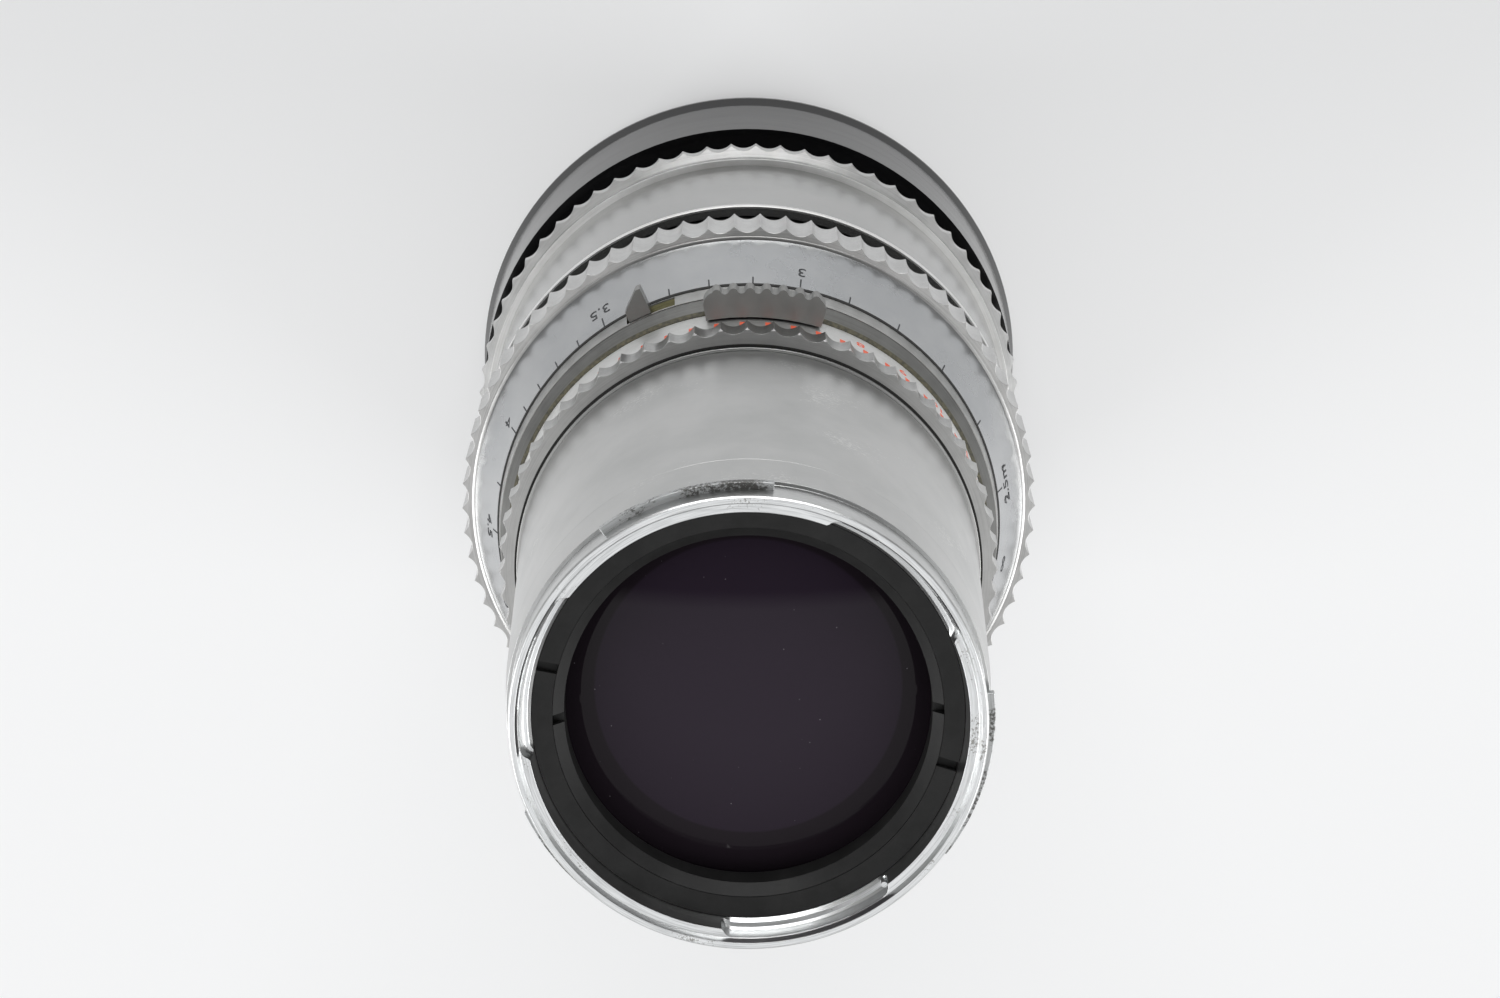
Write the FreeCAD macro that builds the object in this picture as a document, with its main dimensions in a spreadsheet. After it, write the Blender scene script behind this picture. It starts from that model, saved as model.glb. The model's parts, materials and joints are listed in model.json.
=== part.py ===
import FreeCAD, Part
import Sketcher
import math
import os
import re

# A telephoto lens for a medium format camera, standing on its rear cap.
# +Z runs along the optical axis to the front, and the origin is the middle of the cap's flat base.
# The interlock tab stands on the -Y side and the index mark of the distance scale on the +Y side.

os.makedirs("parts", exist_ok=True)
doc = FreeCAD.newDocument("TelephotoLens")
sheet = doc.addObject("Spreadsheet::Sheet", "Sizes")

sizes = {
    # lengths along the axis, from the base of the cap to the rim
    "capHeight": 21.0,
    "plateThickness": 3.0,
    "rearBarrelLength": 8.5,
    "rearGripLength": 4.5,
    "bandLength": 29.0,
    "focusGap": 10.0,
    "gripLength": 8.5,
    "coneLength": 10.4,
    "indexGap": 0.1,
    "indexLength": 3.7,
    "apertureGap": 0.2,
    "apertureLength": 2.3,
    "speedGap": 0.3,
    "speedLength": 12.0,
    "tubeGap": 0.3,
    "tubeLength": 46.2,
    "frontBandLength": 7.0,
    "hoodGroove": 1.2,
    "lugThickness": 1.1,
    "rimHeight": 2.7,
    # clearances
    "seatFit": 0.02,
    "slideFit": 0.3,
    "pinFit": 0.05,
    "keyFit": 0.2,
    # how far a joined shape runs into its neighbour, and a cutter past the face that it cuts
    "rootDepth": 0.5,
    "cutterReach": 1.0,
    # rear cap
    "capRadius": 40.8,
    "capFootRadius": 41.5,
    "capFootHeight": 5.0,
    "capRimRadius": 42.2,
    "capRimRounding": 2.0,
    "capRimHeight": 2.6,
    "capFloor": 4.5,
    "capBore": 34.0,
    "capTongueBore": 31.2,
    "capTongueLift": 18.2,
    "capTongueThickness": 1.8,
    "capTongueAngle": 40.0,
    # mount plate and camera bayonet
    "rearBarrelWall": 0.95,
    "plateBore": 22.0,
    "collarRadius": 30.6,
    "collarWall": 2.2,
    "collarLength": 5.5,
    "mountLugRadius": 32.6,
    "mountLugThickness": 2.0,
    "mountLugAngle": 36.0,
    "mountLugCount": 4,
    "baffleThickness": 1.2,
    "baffleOpening": 34.0,
    "shaftRadius": 2.0,
    "shaftOffset": 24.9,
    "shaftLength": 10.5,
    "shaftReach": 4.5,
    "shaftHeadRadius": 3.0,
    "shaftSlotWidth": 0.9,
    "shaftSlotDepth": 1.2,
    # barrel band and rear grip ring
    "bandRadius": 38.35,
    "bandWall": 1.4,
    "bandChamfer": 0.15,
    "collarRingWall": 1.38,
    "collarRingLength": 1.4,
    "rearGripWall": 2.88,
    "rearGripRise": 1.6,
    "rearFluteCount": 70,
    "rearFluteDepth": 0.7,
    "rearFluteRadius": 2.75,
    "rearFlutePhase": -88.93,
    # guide tube and keys
    "guideWall": 1.0,
    "guideLength": 46.0,
    "guideFlangeWidth": 4.4,
    "guideFlangeThickness": 2.0,
    "keyLength": 9.0,
    "keyDrop": 1.0,
    "keyHeight": 1.7,
    "keyAngle": 10.0,
    "keySlotAngle": 0.35,
    "keySlotMargin": 8.0,
    # carriage sleeve and focus sleeve
    "carriageWall": 1.7,
    "focusWall": 1.45,
    "sleeveLift": 9.0,
    "carriagePlate": 4.0,
    "cellRadius": 23.0,
    # distance scale ring and front grip ring
    "coneFrontWall": 1.2,
    "coneRearWall": 5.2,
    "gripWall": 2.78,
    "gripFluteCount": 70,
    "gripFluteDepth": 0.85,
    "gripFluteRadius": 2.25,
    "gripFlutePhase": -89.73,
    # shutter housing
    "housingInset": 2.7,
    "housingWall": 1.8,
    "housingFloor": 2.0,
    "housingShoulder": 2.6,
    "drumWall": 1.2,
    "shutterPort": 12.0,
    # index ring with its levers and terminal
    "indexFrontWall": 3.7,
    "indexRearWall": 4.08,
    "leverSlotWall": 2.0,
    "leverSlotLip": 0.3,
    "leverSlotStart": -73.1,
    "leverSlotAngle": 11.8,
    "leverStart": -67.4,
    "leverAngle": 5.4,
    "leverTipHeight": 2.92,
    "leverTipLead": 0.2,
    "leverTipAngle": 1.0,
    "leverShoulderHeight": 0.82,
    "syncSlotStart": 45.0,
    "syncSlotAngle": 24.0,
    "syncStart": 54.3,
    "terminalAngle": 120.0,
    "terminalShank": 1.3,
    "terminalRadius": 1.75,
    "terminalHeight": 3.72,
    "terminalBore": 0.7,
    "terminalDepth": 2.5,
    # aperture ring and interlock tab
    "apertureWall": 3.3,
    "tabStart": -107.1,
    "tabAngle": 27.0,
    "tabHeight": 4.15,
    "tabToothDepth": 0.7,
    "tabToothCount": 7,
    "tabToothAngle": 3.53,
    "tabTopLead": 1.8,
    "tabSide": 2.2,
    "tabShoulder": 1.7,
    "tabFront": 4.2,
    "tabToothLength": 3.2,
    "tabFootLift": 0.7,
    "tabFootSkin": 0.4,
    # speed ring
    "speedBandWall": 1.75,
    "speedGripWall": 2.6,
    "speedFluteLength": 4.3,
    "speedChamfer": 0.25,
    "speedFluteCount": 60,
    "speedFluteDepth": 0.8,
    "speedFluteRadius": 2.2,
    "speedFlutePhase": -86.7,
    # blades and their plates
    "bladeCount": 5,
    "bladeThickness": 0.3,
    "bladeLayer": 0.5,
    "bladeStart": 0.15,
    "bladeOverlap": 0.4,
    "bladeEar": 2.2,
    "bladeAngle": 121.0,
    "bladeLead": 3.0,
    "earRadius": 1.3,
    "pivotInset": 2.35,
    "pivotPin": 0.8,
    "plateDisc": 1.0,
    "plateRim": 3.0,
    "plateRimWall": 0.8,
    # front tube
    "tubeLipReach": 0.5,
    "tubeLipLength": 0.5,
    "tubeGrooveDepth": 0.2,
    "tubeGrooveLength": 0.3,
    "tubeStep": 0.15,
    "tubeFrontWall": 3.45,
    "frontBandStep": 0.45,
    "tubeSeat": 3.4,
    # front bayonet
    "rimWall": 2.5,
    "rimChamfer": 0.2,
    "rimFace": 0.82,
    "rimBevelDepth": 0.6,
    "rimBevelWidth": 0.28,
    "lugReach": 0.9,
    "lugStart": 24.0,
    "lugAngle": 42.5,
    "bayonetCount": 3,
    "tongueStart": 9.6,
    "tongueAngle": 73.4,
    "tongueDrop": 0.8,
    "tongueFlare": 0.4,
    "slotCutter": 1.3,
    "slotLip": 0.5,
    "slotRounding": 0.9,
    "bayonetDepth": 3.6,
    "stopPinLead": 1.4,
    "stopPinInset": 0.8,
    "stopPinRadius": 0.35,
    "stopPinLength": 1.4,
    # front rings
    "outerRingHeight": 3.4,
    "outerRingSlope": 0.4,
    "outerRingWall": 2.4,
    "outerSlotAngle": 165.6,
    "innerRingWall": 1.25,
    "innerRingStep": 0.1,
    "innerRingHeight": 4.4,
    "innerRingSlope": 1.2,
    "innerSlotAngle": 1.7,
    "spannerWidth": 1.2,
    "spannerDepth": 0.9,
    # glass
    "frontGlassFit": 0.15,
    "frontGlassEdge": 5.0,
    "frontGlassDrop": 2.0,
    "frontGlassCurve": 75.0,
    "frontGlassBack": 320.0,
    "cellWall": 4.4,
    "doubletDrop": 8.0,
    "crownEdge": 4.0,
    "flintEdge": 5.5,
    "crownCurve": 70.0,
    "cementCurve": 140.0,
    "flintCurve": 55.0,
    "cementGap": 0.02,
    "glassStep": 1.5,
    "glassSeat": 0.5,
    "doubletRingHeight": 3.0,
    "doubletRingWall": 1.6,
    "ribCount": 8,
    "ribHeight": 1.1,
    "ribLand": 0.4,
    "ribRoom": 2.98,
    "ribRearBore": 13.2,
    "ribFrontBore": 17.8,
    # rear cell
    "rearCellLength": 14.0,
    "rearCellBore": 14.5,
    "rearGlassRadius": 17.5,
    "rearGlassSeat": 4.2,
    "rearGlassEdge": 5.0,
    "rearGlassCurve": 110.0,
    "rearGlassBack": 300.0,
    "rearRingHeight": 2.5,
    "rearRingWall": 1.5,
}

# Places that follow from the sizes. Every level is a height above the base of the cap.
places = {
    "plateTop": "capHeight + plateThickness",
    "rearGripBottom": "plateTop + rearBarrelLength",
    "bandBottom": "rearGripBottom + rearGripLength",
    "bandTop": "bandBottom + bandLength",
    "gripBottom": "bandTop + focusGap",
    "gripTop": "gripBottom + gripLength",
    "coneTop": "gripTop + coneLength",
    "indexBottom": "coneTop + indexGap",
    "indexTop": "indexBottom + indexLength",
    "apertureBottom": "indexTop + apertureGap",
    "apertureTop": "apertureBottom + apertureLength",
    "speedBottom": "apertureTop + speedGap",
    "speedTop": "speedBottom + speedLength",
    "tubeBottom": "speedTop + tubeGap",
    "tubeTop": "tubeBottom + tubeLength",
    "grooveBottom": "tubeTop + frontBandLength",
    "lugBottom": "grooveBottom + hoodGroove",
    "lugTop": "lugBottom + lugThickness",
    "rimTop": "lugTop + rimHeight",
    "ringFace": "rimTop - bayonetDepth",
    "tongueTop": "rimTop - tongueDrop",
    "slotFloor": "ringFace + slotLip",
    "slotRadius": "tubeBore + slotCutter",
    "slotPitch": "360 / bayonetCount",
    "slotEnd": "slotCutter / tubeBore * 180 / pi",
    "collarBottom": "capHeight - collarLength",
    "bandBore": "bandRadius - bandWall",
    "rearBarrelRadius": "bandBore + rearBarrelWall",
    "rearGripBore": "rearBarrelRadius + seatFit",
    "rearGripRadius": "rearGripBore + rearGripWall",
    "collarRingRadius": "rearGripBore + collarRingWall",
    "focusRadius": "bandBore - slideFit",
    "focusBore": "focusRadius - focusWall",
    "gripBore": "focusRadius + seatFit",
    "gripRadius": "gripBore + gripWall",
    "carriageRadius": "focusBore - slideFit",
    "carriageBore": "carriageRadius - carriageWall",
    "guideRadius": "carriageBore - slideFit",
    "guideTop": "plateTop + guideLength",
    "keyTop": "guideTop - keyDrop",
    "keyBottom": "keyTop - keyLength",
    "sleeveBottom": "plateTop + sleeveLift",
    "carriageTop": "gripTop - slideFit",
    "carriageFloor": "carriageTop - carriagePlate",
    "housingRadius": "carriageRadius - housingInset",
    "housingBore": "housingRadius - housingWall",
    "drumRadius": "housingRadius - housingShoulder",
    "drumBore": "drumRadius - drumWall",
    "coneBore": "housingRadius + slideFit",
    "coneFrontRadius": "coneBore + coneFrontWall",
    "coneRearRadius": "coneBore + coneRearWall",
    "indexFrontRadius": "drumRadius + indexFrontWall",
    "indexRearRadius": "drumRadius + indexRearWall",
    "leverSlotFloor": "drumRadius + leverSlotWall",
    "terminalReach": "indexRearRadius + terminalHeight",
    "ringBore": "drumRadius + slideFit",
    "apertureRadius": "ringBore + apertureWall",
    "speedBandRadius": "ringBore + speedBandWall",
    "speedGripRadius": "ringBore + speedGripWall",
    "plateRadius": "drumBore - pinFit",
    "pivotRadius": "plateRadius - pivotInset",
    "bladeOuter": "pivotRadius - bladeEar",
    "bladeInner": "shutterPort + bladeOverlap",
    "tubeBore": "drumBore - tubeSeat",
    "tubeLipRadius": "drumRadius + tubeLipReach",
    "tubeGrooveRadius": "drumRadius - tubeGrooveDepth",
    "tubeRearRadius": "drumRadius + tubeStep",
    "tubeFrontRadius": "tubeBore + tubeFrontWall",
    "rimRadius": "tubeBore + rimWall",
    "frontBandRadius": "rimRadius + frontBandStep",
    "lugRadius": "rimRadius + lugReach",
    "outerRingBore": "tubeBore - outerRingWall",
    "innerRingBore": "outerRingBore - pinFit - innerRingWall",
    "frontGlassRadius": "outerRingBore - frontGlassFit",
    "doubletBore": "tubeBore - pinFit - cellWall",
    "doubletRadius": "doubletBore - pinFit",
    "diaphragmPlateTop": "indexBottom + plateDisc",
    "shutterPlateBottom": "indexBottom + plateRim + plateDisc",
    "shutterPlateTop": "shutterPlateBottom + plateDisc",
    "coverBottom": "shutterPlateBottom + plateRim + plateDisc",
    "cellBottom": "coverBottom + plateDisc",
    "outerRingBottom": "ringFace - outerRingHeight",
    "frontGlassTop": "outerRingBottom - frontGlassDrop",
    "frontGlassBottom": "frontGlassTop - frontGlassEdge",
    "crownTop": "frontGlassTop - doubletDrop - frontGlassEdge + glassStep",
    "crownBottom": "crownTop - crownEdge",
    "flintTop": "crownBottom - cementGap",
    "flintBottom": "flintTop - flintEdge",
    "doubletRingBottom": "flintBottom - doubletRingHeight",
    "ribTube": "doubletRingBottom - cellBottom - ribRoom",
    "rearCellBottom": "carriageTop - rearCellLength",
    "rearGlassTop": "carriageTop - rearGlassSeat",
    "rearGlassBottom": "rearGlassTop - rearGlassEdge",
    "rearRingBottom": "rearGlassBottom - rearRingHeight",
    "leverBottom": "indexBottom + leverSlotLip + keyFit",
    "leverTop": "indexTop - leverSlotLip - keyFit",
    "leverNeck": "indexRearRadius + slideFit",
    "leverTip": "leverNeck + leverTipHeight",
    "leverShoulder": "leverNeck + leverShoulderHeight",
    "tabUnderside": "speedBandRadius + slideFit",
    "tabFootTop": "apertureRadius + tabFootSkin",
    "tabTop": "apertureTop + tabFront",
    "tabRise": "speedBandRadius + tabHeight",
    "tabToothBottom": "tabTop - tabToothLength",
    "tabMiddle": "tabRise - tabToothDepth / 2",
    "toothChord": "2 * tabMiddle * sin(tabToothAngle / 4)",
    "toothRounding": "(toothChord ^ 2 + tabToothDepth ^ 2) / (4 * tabToothDepth)",
}

for row, (name, number) in enumerate(sizes.items(), start=1):
    sheet.set(f"A{row}", name)
    sheet.set(f"B{row}", str(number))
    sheet.setAlias(f"B{row}", name)
doc.recompute()


def bound(text):
    """Turn words for sizes and places into an expression on the sheet."""
    def spelled(match):
        word = match.group(0)
        if word in places:
            return "(" + bound(places[word]) + ")"
        if word in sizes:
            return "Sizes." + word
        return word
    return re.sub(r"[A-Za-z]\w*", spelled, str(text))


def value(text):
    return float(sheet.evalExpression(bound(text)))


def newBody(label):
    body = doc.addObject("PartDesign::Body", label)
    body.Label = label
    return body


def originFeature(body, role):
    return next(item for item in body.Origin.OriginFeatures if item.Role == role)


def newSketch(body, name, plane, turn="0", lift="0"):
    """A sketch on a plane of the body's origin. An XZ sketch is turned about Z, an XY one lifted."""
    sketch = body.newObject("Sketcher::SketchObject", name)
    sketch.AttachmentSupport = [(originFeature(body, plane), "")]
    sketch.MapMode = "FlatFace"
    if plane == "XZ_Plane":
        turned = FreeCAD.Rotation(FreeCAD.Vector(0, 1, 0), value(turn))
        sketch.AttachmentOffset = FreeCAD.Placement(FreeCAD.Vector(0, value(lift), 0), turned)
        sketch.setExpression("AttachmentOffset.Rotation.Angle", bound(turn))
        sketch.setExpression("AttachmentOffset.Base.y", bound(lift))
    else:
        raised = FreeCAD.Vector(0, 0, value(lift))
        sketch.AttachmentOffset = FreeCAD.Placement(raised, FreeCAD.Rotation())
        sketch.setExpression("AttachmentOffset.Base.z", bound(lift))
    return sketch


def addLimits(sketch, limits):
    """Add dimensions that follow the sheet. Each is (constraint arguments, words for its size)."""
    for arguments, words in limits:
        index = sketch.addConstraint(Sketcher.Constraint(*arguments, value(words)))
        sketch.setExpression(f"Constraints[{index}]", bound(words))


def drawOutline(sketch, points, arcs=None):
    """A closed outline. arcs maps the number of a side to (radius, side of the centre)."""
    arcs = arcs or {}
    corners = [FreeCAD.Vector(value(across), value(up), 0) for across, up in points]
    count = len(corners)
    starts = []
    for number in range(count):
        here = corners[number]
        there = corners[(number + 1) % count]
        if number not in arcs:
            sketch.addGeometry(Part.LineSegment(here, there), False)
            starts.append(1)
            continue
        radius, hand = arcs[number]
        chord = there - here
        height = math.sqrt(value(radius) ** 2 - (chord.Length / 2) ** 2)
        across = FreeCAD.Vector(-chord.y, chord.x, 0).normalize() * height * hand
        centre = (here + there) / 2 + across
        ends = (here, there) if hand > 0 else (there, here)
        angles = [math.atan2(end.y - centre.y, end.x - centre.x) for end in ends]
        circle = Part.Circle(centre, FreeCAD.Vector(0, 0, 1), value(radius))
        sketch.addGeometry(Part.ArcOfCircle(circle, *angles), False)
        starts.append(1 if hand > 0 else 2)
    for number in range(count):
        following = (number + 1) % count
        joint = (number, 3 - starts[number], following, starts[following])
        sketch.addConstraint(Sketcher.Constraint("Coincident", *joint))
    limits = []
    for number, (across, up) in enumerate(points):
        limits.append((("DistanceX", -1, 1, number, starts[number]), across))
        limits.append((("DistanceY", -1, 1, number, starts[number]), up))
    for number, (radius, hand) in arcs.items():
        limits.append((("Radius", number), radius))
    addLimits(sketch, limits)


def drawCircle(sketch, across, up, radius):
    centre = FreeCAD.Vector(value(across), value(up), 0)
    number = sketch.addGeometry(Part.Circle(centre, FreeCAD.Vector(0, 0, 1), value(radius)), False)
    addLimits(sketch, [
        (("DistanceX", -1, 1, number, 3), across),
        (("DistanceY", -1, 1, number, 3), up),
        (("Radius", number), radius),
    ])


def turned(body, name, points, arcs=None, start="0", span="360", cut=False):
    """Turn an outline of (radius, height) about the Z axis, all round or over part of a turn."""
    sketch = newSketch(body, name + "_outline", "XZ_Plane", turn=start)
    drawOutline(sketch, points, arcs)
    kind = "PartDesign::Groove" if cut else "PartDesign::Revolution"
    feature = body.newObject(kind, name)
    feature.Profile = (sketch, [""])
    feature.ReferenceAxis = (sketch, ["V_Axis"])
    feature.setExpression("Angle", bound(span))
    sketch.Visibility = False
    body.Tip = feature
    return feature


def extruded(body, name, draw, level, length, cut=False, up=True):
    """Pad or pocket a sketch that draw fills, from a level up or down."""
    sketch = newSketch(body, name + "_outline", "XY_Plane", lift=level)
    draw(sketch)
    feature = body.newObject("PartDesign::Pocket" if cut else "PartDesign::Pad", name)
    feature.Profile = (sketch, [""])
    feature.setExpression("Length", bound(length))
    feature.Reversed = up if cut else not up
    sketch.Visibility = False
    body.Tip = feature
    return feature


def repeated(body, name, feature, count):
    """Repeat a feature evenly all round the axis."""
    pattern = body.newObject("PartDesign::PolarPattern", name)
    pattern.Originals = [feature]
    pattern.Axis = (originFeature(body, "Z_Axis"), [""])
    pattern.Angle = 360
    pattern.setExpression("Occurrences", bound(count))
    body.Tip = pattern
    return pattern


def polar(radius, angle):
    return (f"({radius}) * cos({angle})", f"({radius}) * sin({angle})")


def ring(body, name, bore, radius, bottom, top, **choices):
    """A plain ring of rectangular section."""
    corners = [(bore, bottom), (radius, bottom), (radius, top), (bore, top)]
    return turned(body, name, corners, **choices)


def flutes(body, name, ringRadius, depth, cutter, phase, top, length, count):
    """Scallops all round a grip, each the side of a round cutter."""
    centre = polar(f"{ringRadius} - {depth} + {cutter}", phase)
    scallop = extruded(body, name, lambda sketch: drawCircle(sketch, *centre, cutter),
                       top, length, cut=True, up=False)
    repeated(body, name + "_all_round", scallop, count)


def strip(width, length, angle):
    """Corners of a strip through the axis, turned by an angle."""
    along = f"({length}) / 2"
    aside = f"({width}) / 2"
    corners = []
    for ahead, left in ((1, 1), (-1, 1), (-1, -1), (1, -1)):
        across = f"{ahead} * {along} * cos({angle}) - {left} * {aside} * sin({angle})"
        up = f"{ahead} * {along} * sin({angle}) + {left} * {aside} * cos({angle})"
        corners.append((across, up))
    return corners


def spannerSlots(body, angle, reach, top):
    """Two slots for a spanner, opposite each other in the face of a retaining ring."""
    corners = strip("spannerWidth", f"2 * ({reach} + cutterReach)", angle)
    extruded(body, "spanner_slots", lambda sketch: drawOutline(sketch, corners),
             f"({top}) + cutterReach", "spannerDepth + cutterReach", cut=True, up=False)


# Rear cap: a cup with a rounded foot and four tongues that lie between the lugs of the mount.
def rearCap():
    body = newBody("rear_cap")
    turned(body, "cup", [
        ("0", "0"),
        ("capRimRadius - capRimRounding", "0"),
        ("capRimRadius", "capRimRounding"),
        ("capRimRadius", "capRimHeight"),
        ("capFootRadius", "capFootHeight"),
        ("capRadius", "capHeight"),
        ("capBore", "capHeight"),
        ("capBore", "capFloor"),
        ("0", "capFloor"),
    ], arcs={1: ("capRimRounding", 1)})
    tongue = ring(body, "tongue", "capTongueBore", "capBore + rootDepth", "capTongueLift",
                  "capTongueLift + capTongueThickness",
                  start="-capTongueAngle / 2", span="capTongueAngle")
    repeated(body, "tongues", tongue, "mountLugCount")


# Mount plate: the lens's rear flange, with a collar and the lugs of the camera bayonet.
def mountPlate():
    body = newBody("mount_plate")
    turned(body, "flange", [
        ("plateBore", "capHeight"),
        ("collarRadius - collarWall", "capHeight"),
        ("collarRadius - collarWall", "collarBottom"),
        ("collarRadius", "collarBottom"),
        ("collarRadius", "capHeight"),
        ("rearBarrelRadius", "capHeight"),
        ("rearBarrelRadius", "plateTop"),
        ("plateBore", "plateTop"),
    ])
    lug = ring(body, "lug", "collarRadius - rootDepth", "mountLugRadius", "collarBottom",
               "collarBottom + mountLugThickness",
               start="180 / mountLugCount - mountLugAngle / 2", span="mountLugAngle")
    repeated(body, "lugs", lug, "mountLugCount")
    extruded(body, "shaft_hole",
             lambda sketch: drawCircle(sketch, "0", "shaftOffset", "shaftRadius + pinFit"),
             "plateTop", "plateThickness", cut=True, up=False)


# Rear baffle: a thin plate with a square window, set into the collar.
def rearBaffle():
    body = newBody("rear_baffle")
    level = "capHeight - baffleThickness"
    radius = "collarRadius - collarWall - pinFit"
    extruded(body, "disc", lambda sketch: drawCircle(sketch, "0", "0", radius),
             level, "baffleThickness")
    half = "baffleOpening / 2"
    window = [(half, half), ("-" + half, half), ("-" + half, "-" + half), (half, "-" + half)]
    extruded(body, "window", lambda sketch: drawOutline(sketch, window),
             level, "baffleThickness", cut=True)
    extruded(body, "shaft_hole",
             lambda sketch: drawCircle(sketch, "0", "shaftOffset", "shaftRadius + pinFit"),
             level, "baffleThickness", cut=True)


# Cocking shaft: winds the shutter from the camera through a slot in its end.
def cockingShaft():
    body = newBody("cocking_shaft")
    end = "capHeight - shaftReach"
    extruded(body, "shank", lambda sketch: drawCircle(sketch, "0", "0", "shaftRadius"),
             end, "shaftLength")
    extruded(body, "head", lambda sketch: drawCircle(sketch, "0", "0", "shaftHeadRadius"),
             "plateTop", f"{end} + shaftLength - plateTop")
    slot = strip("shaftSlotWidth", "2 * (shaftRadius + cutterReach)", "0")
    extruded(body, "slot", lambda sketch: drawOutline(sketch, slot),
             end, "shaftSlotDepth", cut=True)
    body.setExpression("Placement.Base.y", bound("shaftOffset"))


# Rear barrel: the black tube between the mount plate and the barrel band.
def rearBarrel():
    ring(newBody("rear_barrel"), "tube", "bandBore", "rearBarrelRadius", "plateTop", "bandBottom")


# Rear grip ring: a smooth collar that runs up over a cone into scallops.
def rearGripRing():
    body = newBody("rear_grip_ring")
    turned(body, "ring", [
        ("rearGripBore", "rearGripBottom"),
        ("rearGripRadius", "rearGripBottom"),
        ("rearGripRadius", "bandBottom - collarRingLength - rearGripRise"),
        ("collarRingRadius", "bandBottom - collarRingLength"),
        ("collarRingRadius", "bandBottom"),
        ("rearGripBore", "bandBottom"),
    ])
    flutes(body, "scallop", "rearGripRadius", "rearFluteDepth", "rearFluteRadius",
           "rearFlutePhase", "bandBottom", "rearGripLength", "rearFluteCount")


# Barrel band: the smooth fixed tube into which the focusing sleeves run.
def barrelBand():
    turned(newBody("barrel_band"), "tube", [
        ("bandBore", "bandBottom"),
        ("bandRadius", "bandBottom"),
        ("bandRadius", "bandTop - bandChamfer"),
        ("bandRadius - bandChamfer", "bandTop"),
        ("bandBore", "bandTop"),
    ])


# Guide tube: stands on the mount plate and keeps the carriage from turning.
def guideTube():
    bore = "guideRadius - guideWall"
    turned(newBody("guide_tube"), "tube", [
        ("guideRadius - guideFlangeWidth", "plateTop"),
        ("guideRadius", "plateTop"),
        ("guideRadius", "guideTop"),
        (bore, "guideTop"),
        (bore, "plateTop + guideFlangeThickness"),
        ("guideRadius - guideFlangeWidth", "plateTop + guideFlangeThickness"),
    ])


# Guide keys: two keys on the guide tube that run in the slots of the carriage sleeve.
def guideKey(number):
    body = newBody(f"guide_key_{number}")
    ring(body, "key", "guideRadius", "guideRadius + keyHeight", "keyBottom", "keyTop",
         start=f"{number - 1} * 180 - keyAngle / 2", span="keyAngle")


# Carriage sleeve: slides on the guide tube and carries the whole front of the lens.
def carriageSleeve():
    body = newBody("carriage_sleeve")
    turned(body, "sleeve", [
        ("carriageBore", "sleeveBottom"),
        ("carriageRadius", "sleeveBottom"),
        ("carriageRadius", "carriageTop"),
        ("cellRadius", "carriageTop"),
        ("cellRadius", "carriageFloor"),
        ("carriageBore", "carriageFloor"),
    ])
    slot = ring(body, "key_slot", "carriageBore - cutterReach", "carriageRadius + cutterReach",
                "sleeveBottom - cutterReach", "keyTop + keySlotMargin",
                start="-keyAngle / 2 - keySlotAngle", span="keyAngle + 2 * keySlotAngle", cut=True)
    repeated(body, "key_slots", slot, "2")


# Focus sleeve: turns round the carriage and runs down into the barrel band.
def focusSleeve():
    ring(newBody("focus_sleeve"), "sleeve", "focusBore", "focusRadius", "sleeveBottom", "gripTop")


# Front grip ring: the focusing grip, scalloped from face to face.
def focusGripRing():
    body = newBody("focus_grip_ring")
    ring(body, "ring", "gripBore", "gripRadius", "gripBottom", "gripTop")
    flutes(body, "scallop", "gripRadius", "gripFluteDepth", "gripFluteRadius",
           "gripFlutePhase", "gripTop", "gripLength", "gripFluteCount")


# Distance scale ring: a cone that turns with the grip ring.
def scaleConeRing():
    turned(newBody("scale_cone_ring"), "cone", [
        ("coneBore", "gripTop"),
        ("coneRearRadius", "gripTop"),
        ("coneFrontRadius", "coneTop"),
        ("coneBore", "coneTop"),
    ])


# Shutter housing: a cup on the carriage, narrower where the speed and aperture rings turn on it.
def shutterHousing():
    turned(newBody("shutter_housing"), "housing", [
        ("housingBore", "carriageTop"),
        ("housingRadius", "carriageTop"),
        ("housingRadius", "indexBottom"),
        ("drumRadius", "indexBottom"),
        ("drumRadius", "tubeBottom"),
        ("drumBore", "tubeBottom"),
        ("drumBore", "indexBottom"),
        ("shutterPort", "indexBottom"),
        ("shutterPort", "indexBottom - housingFloor"),
        ("housingBore", "indexBottom - housingFloor"),
    ])


# Index ring: a fixed light band with slots for two levers and a hole for the flash terminal.
def indexRing():
    body = newBody("index_ring")
    bore = "drumRadius + seatFit"
    turned(body, "band", [
        (bore, "indexBottom"),
        ("indexRearRadius", "indexBottom"),
        ("indexFrontRadius", "indexTop"),
        (bore, "indexTop"),
    ])
    for name, start, span in (("preview_slot", "leverSlotStart", "leverSlotAngle"),
                              ("sync_slot", "syncSlotStart", "syncSlotAngle")):
        ring(body, name, "leverSlotFloor", "indexRearRadius + cutterReach",
             "indexBottom + leverSlotLip", "indexTop - leverSlotLip", start=start, span=span,
             cut=True)
    sketch = newSketch(body, "terminal_hole_outline", "XZ_Plane", turn="terminalAngle",
                       lift="(indexBottom + indexTop) / 2")
    wall = "terminalShank + pinFit"
    drawOutline(sketch, [("leverSlotFloor", "0"), ("indexRearRadius + cutterReach", "0"),
                         ("indexRearRadius + cutterReach", wall), ("leverSlotFloor", wall)])
    hole = body.newObject("PartDesign::Groove", "terminal_hole")
    hole.Profile = (sketch, [""])
    hole.ReferenceAxis = (sketch, ["H_Axis"])
    hole.Angle = 360
    sketch.Visibility = False
    body.Tip = hole


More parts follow.
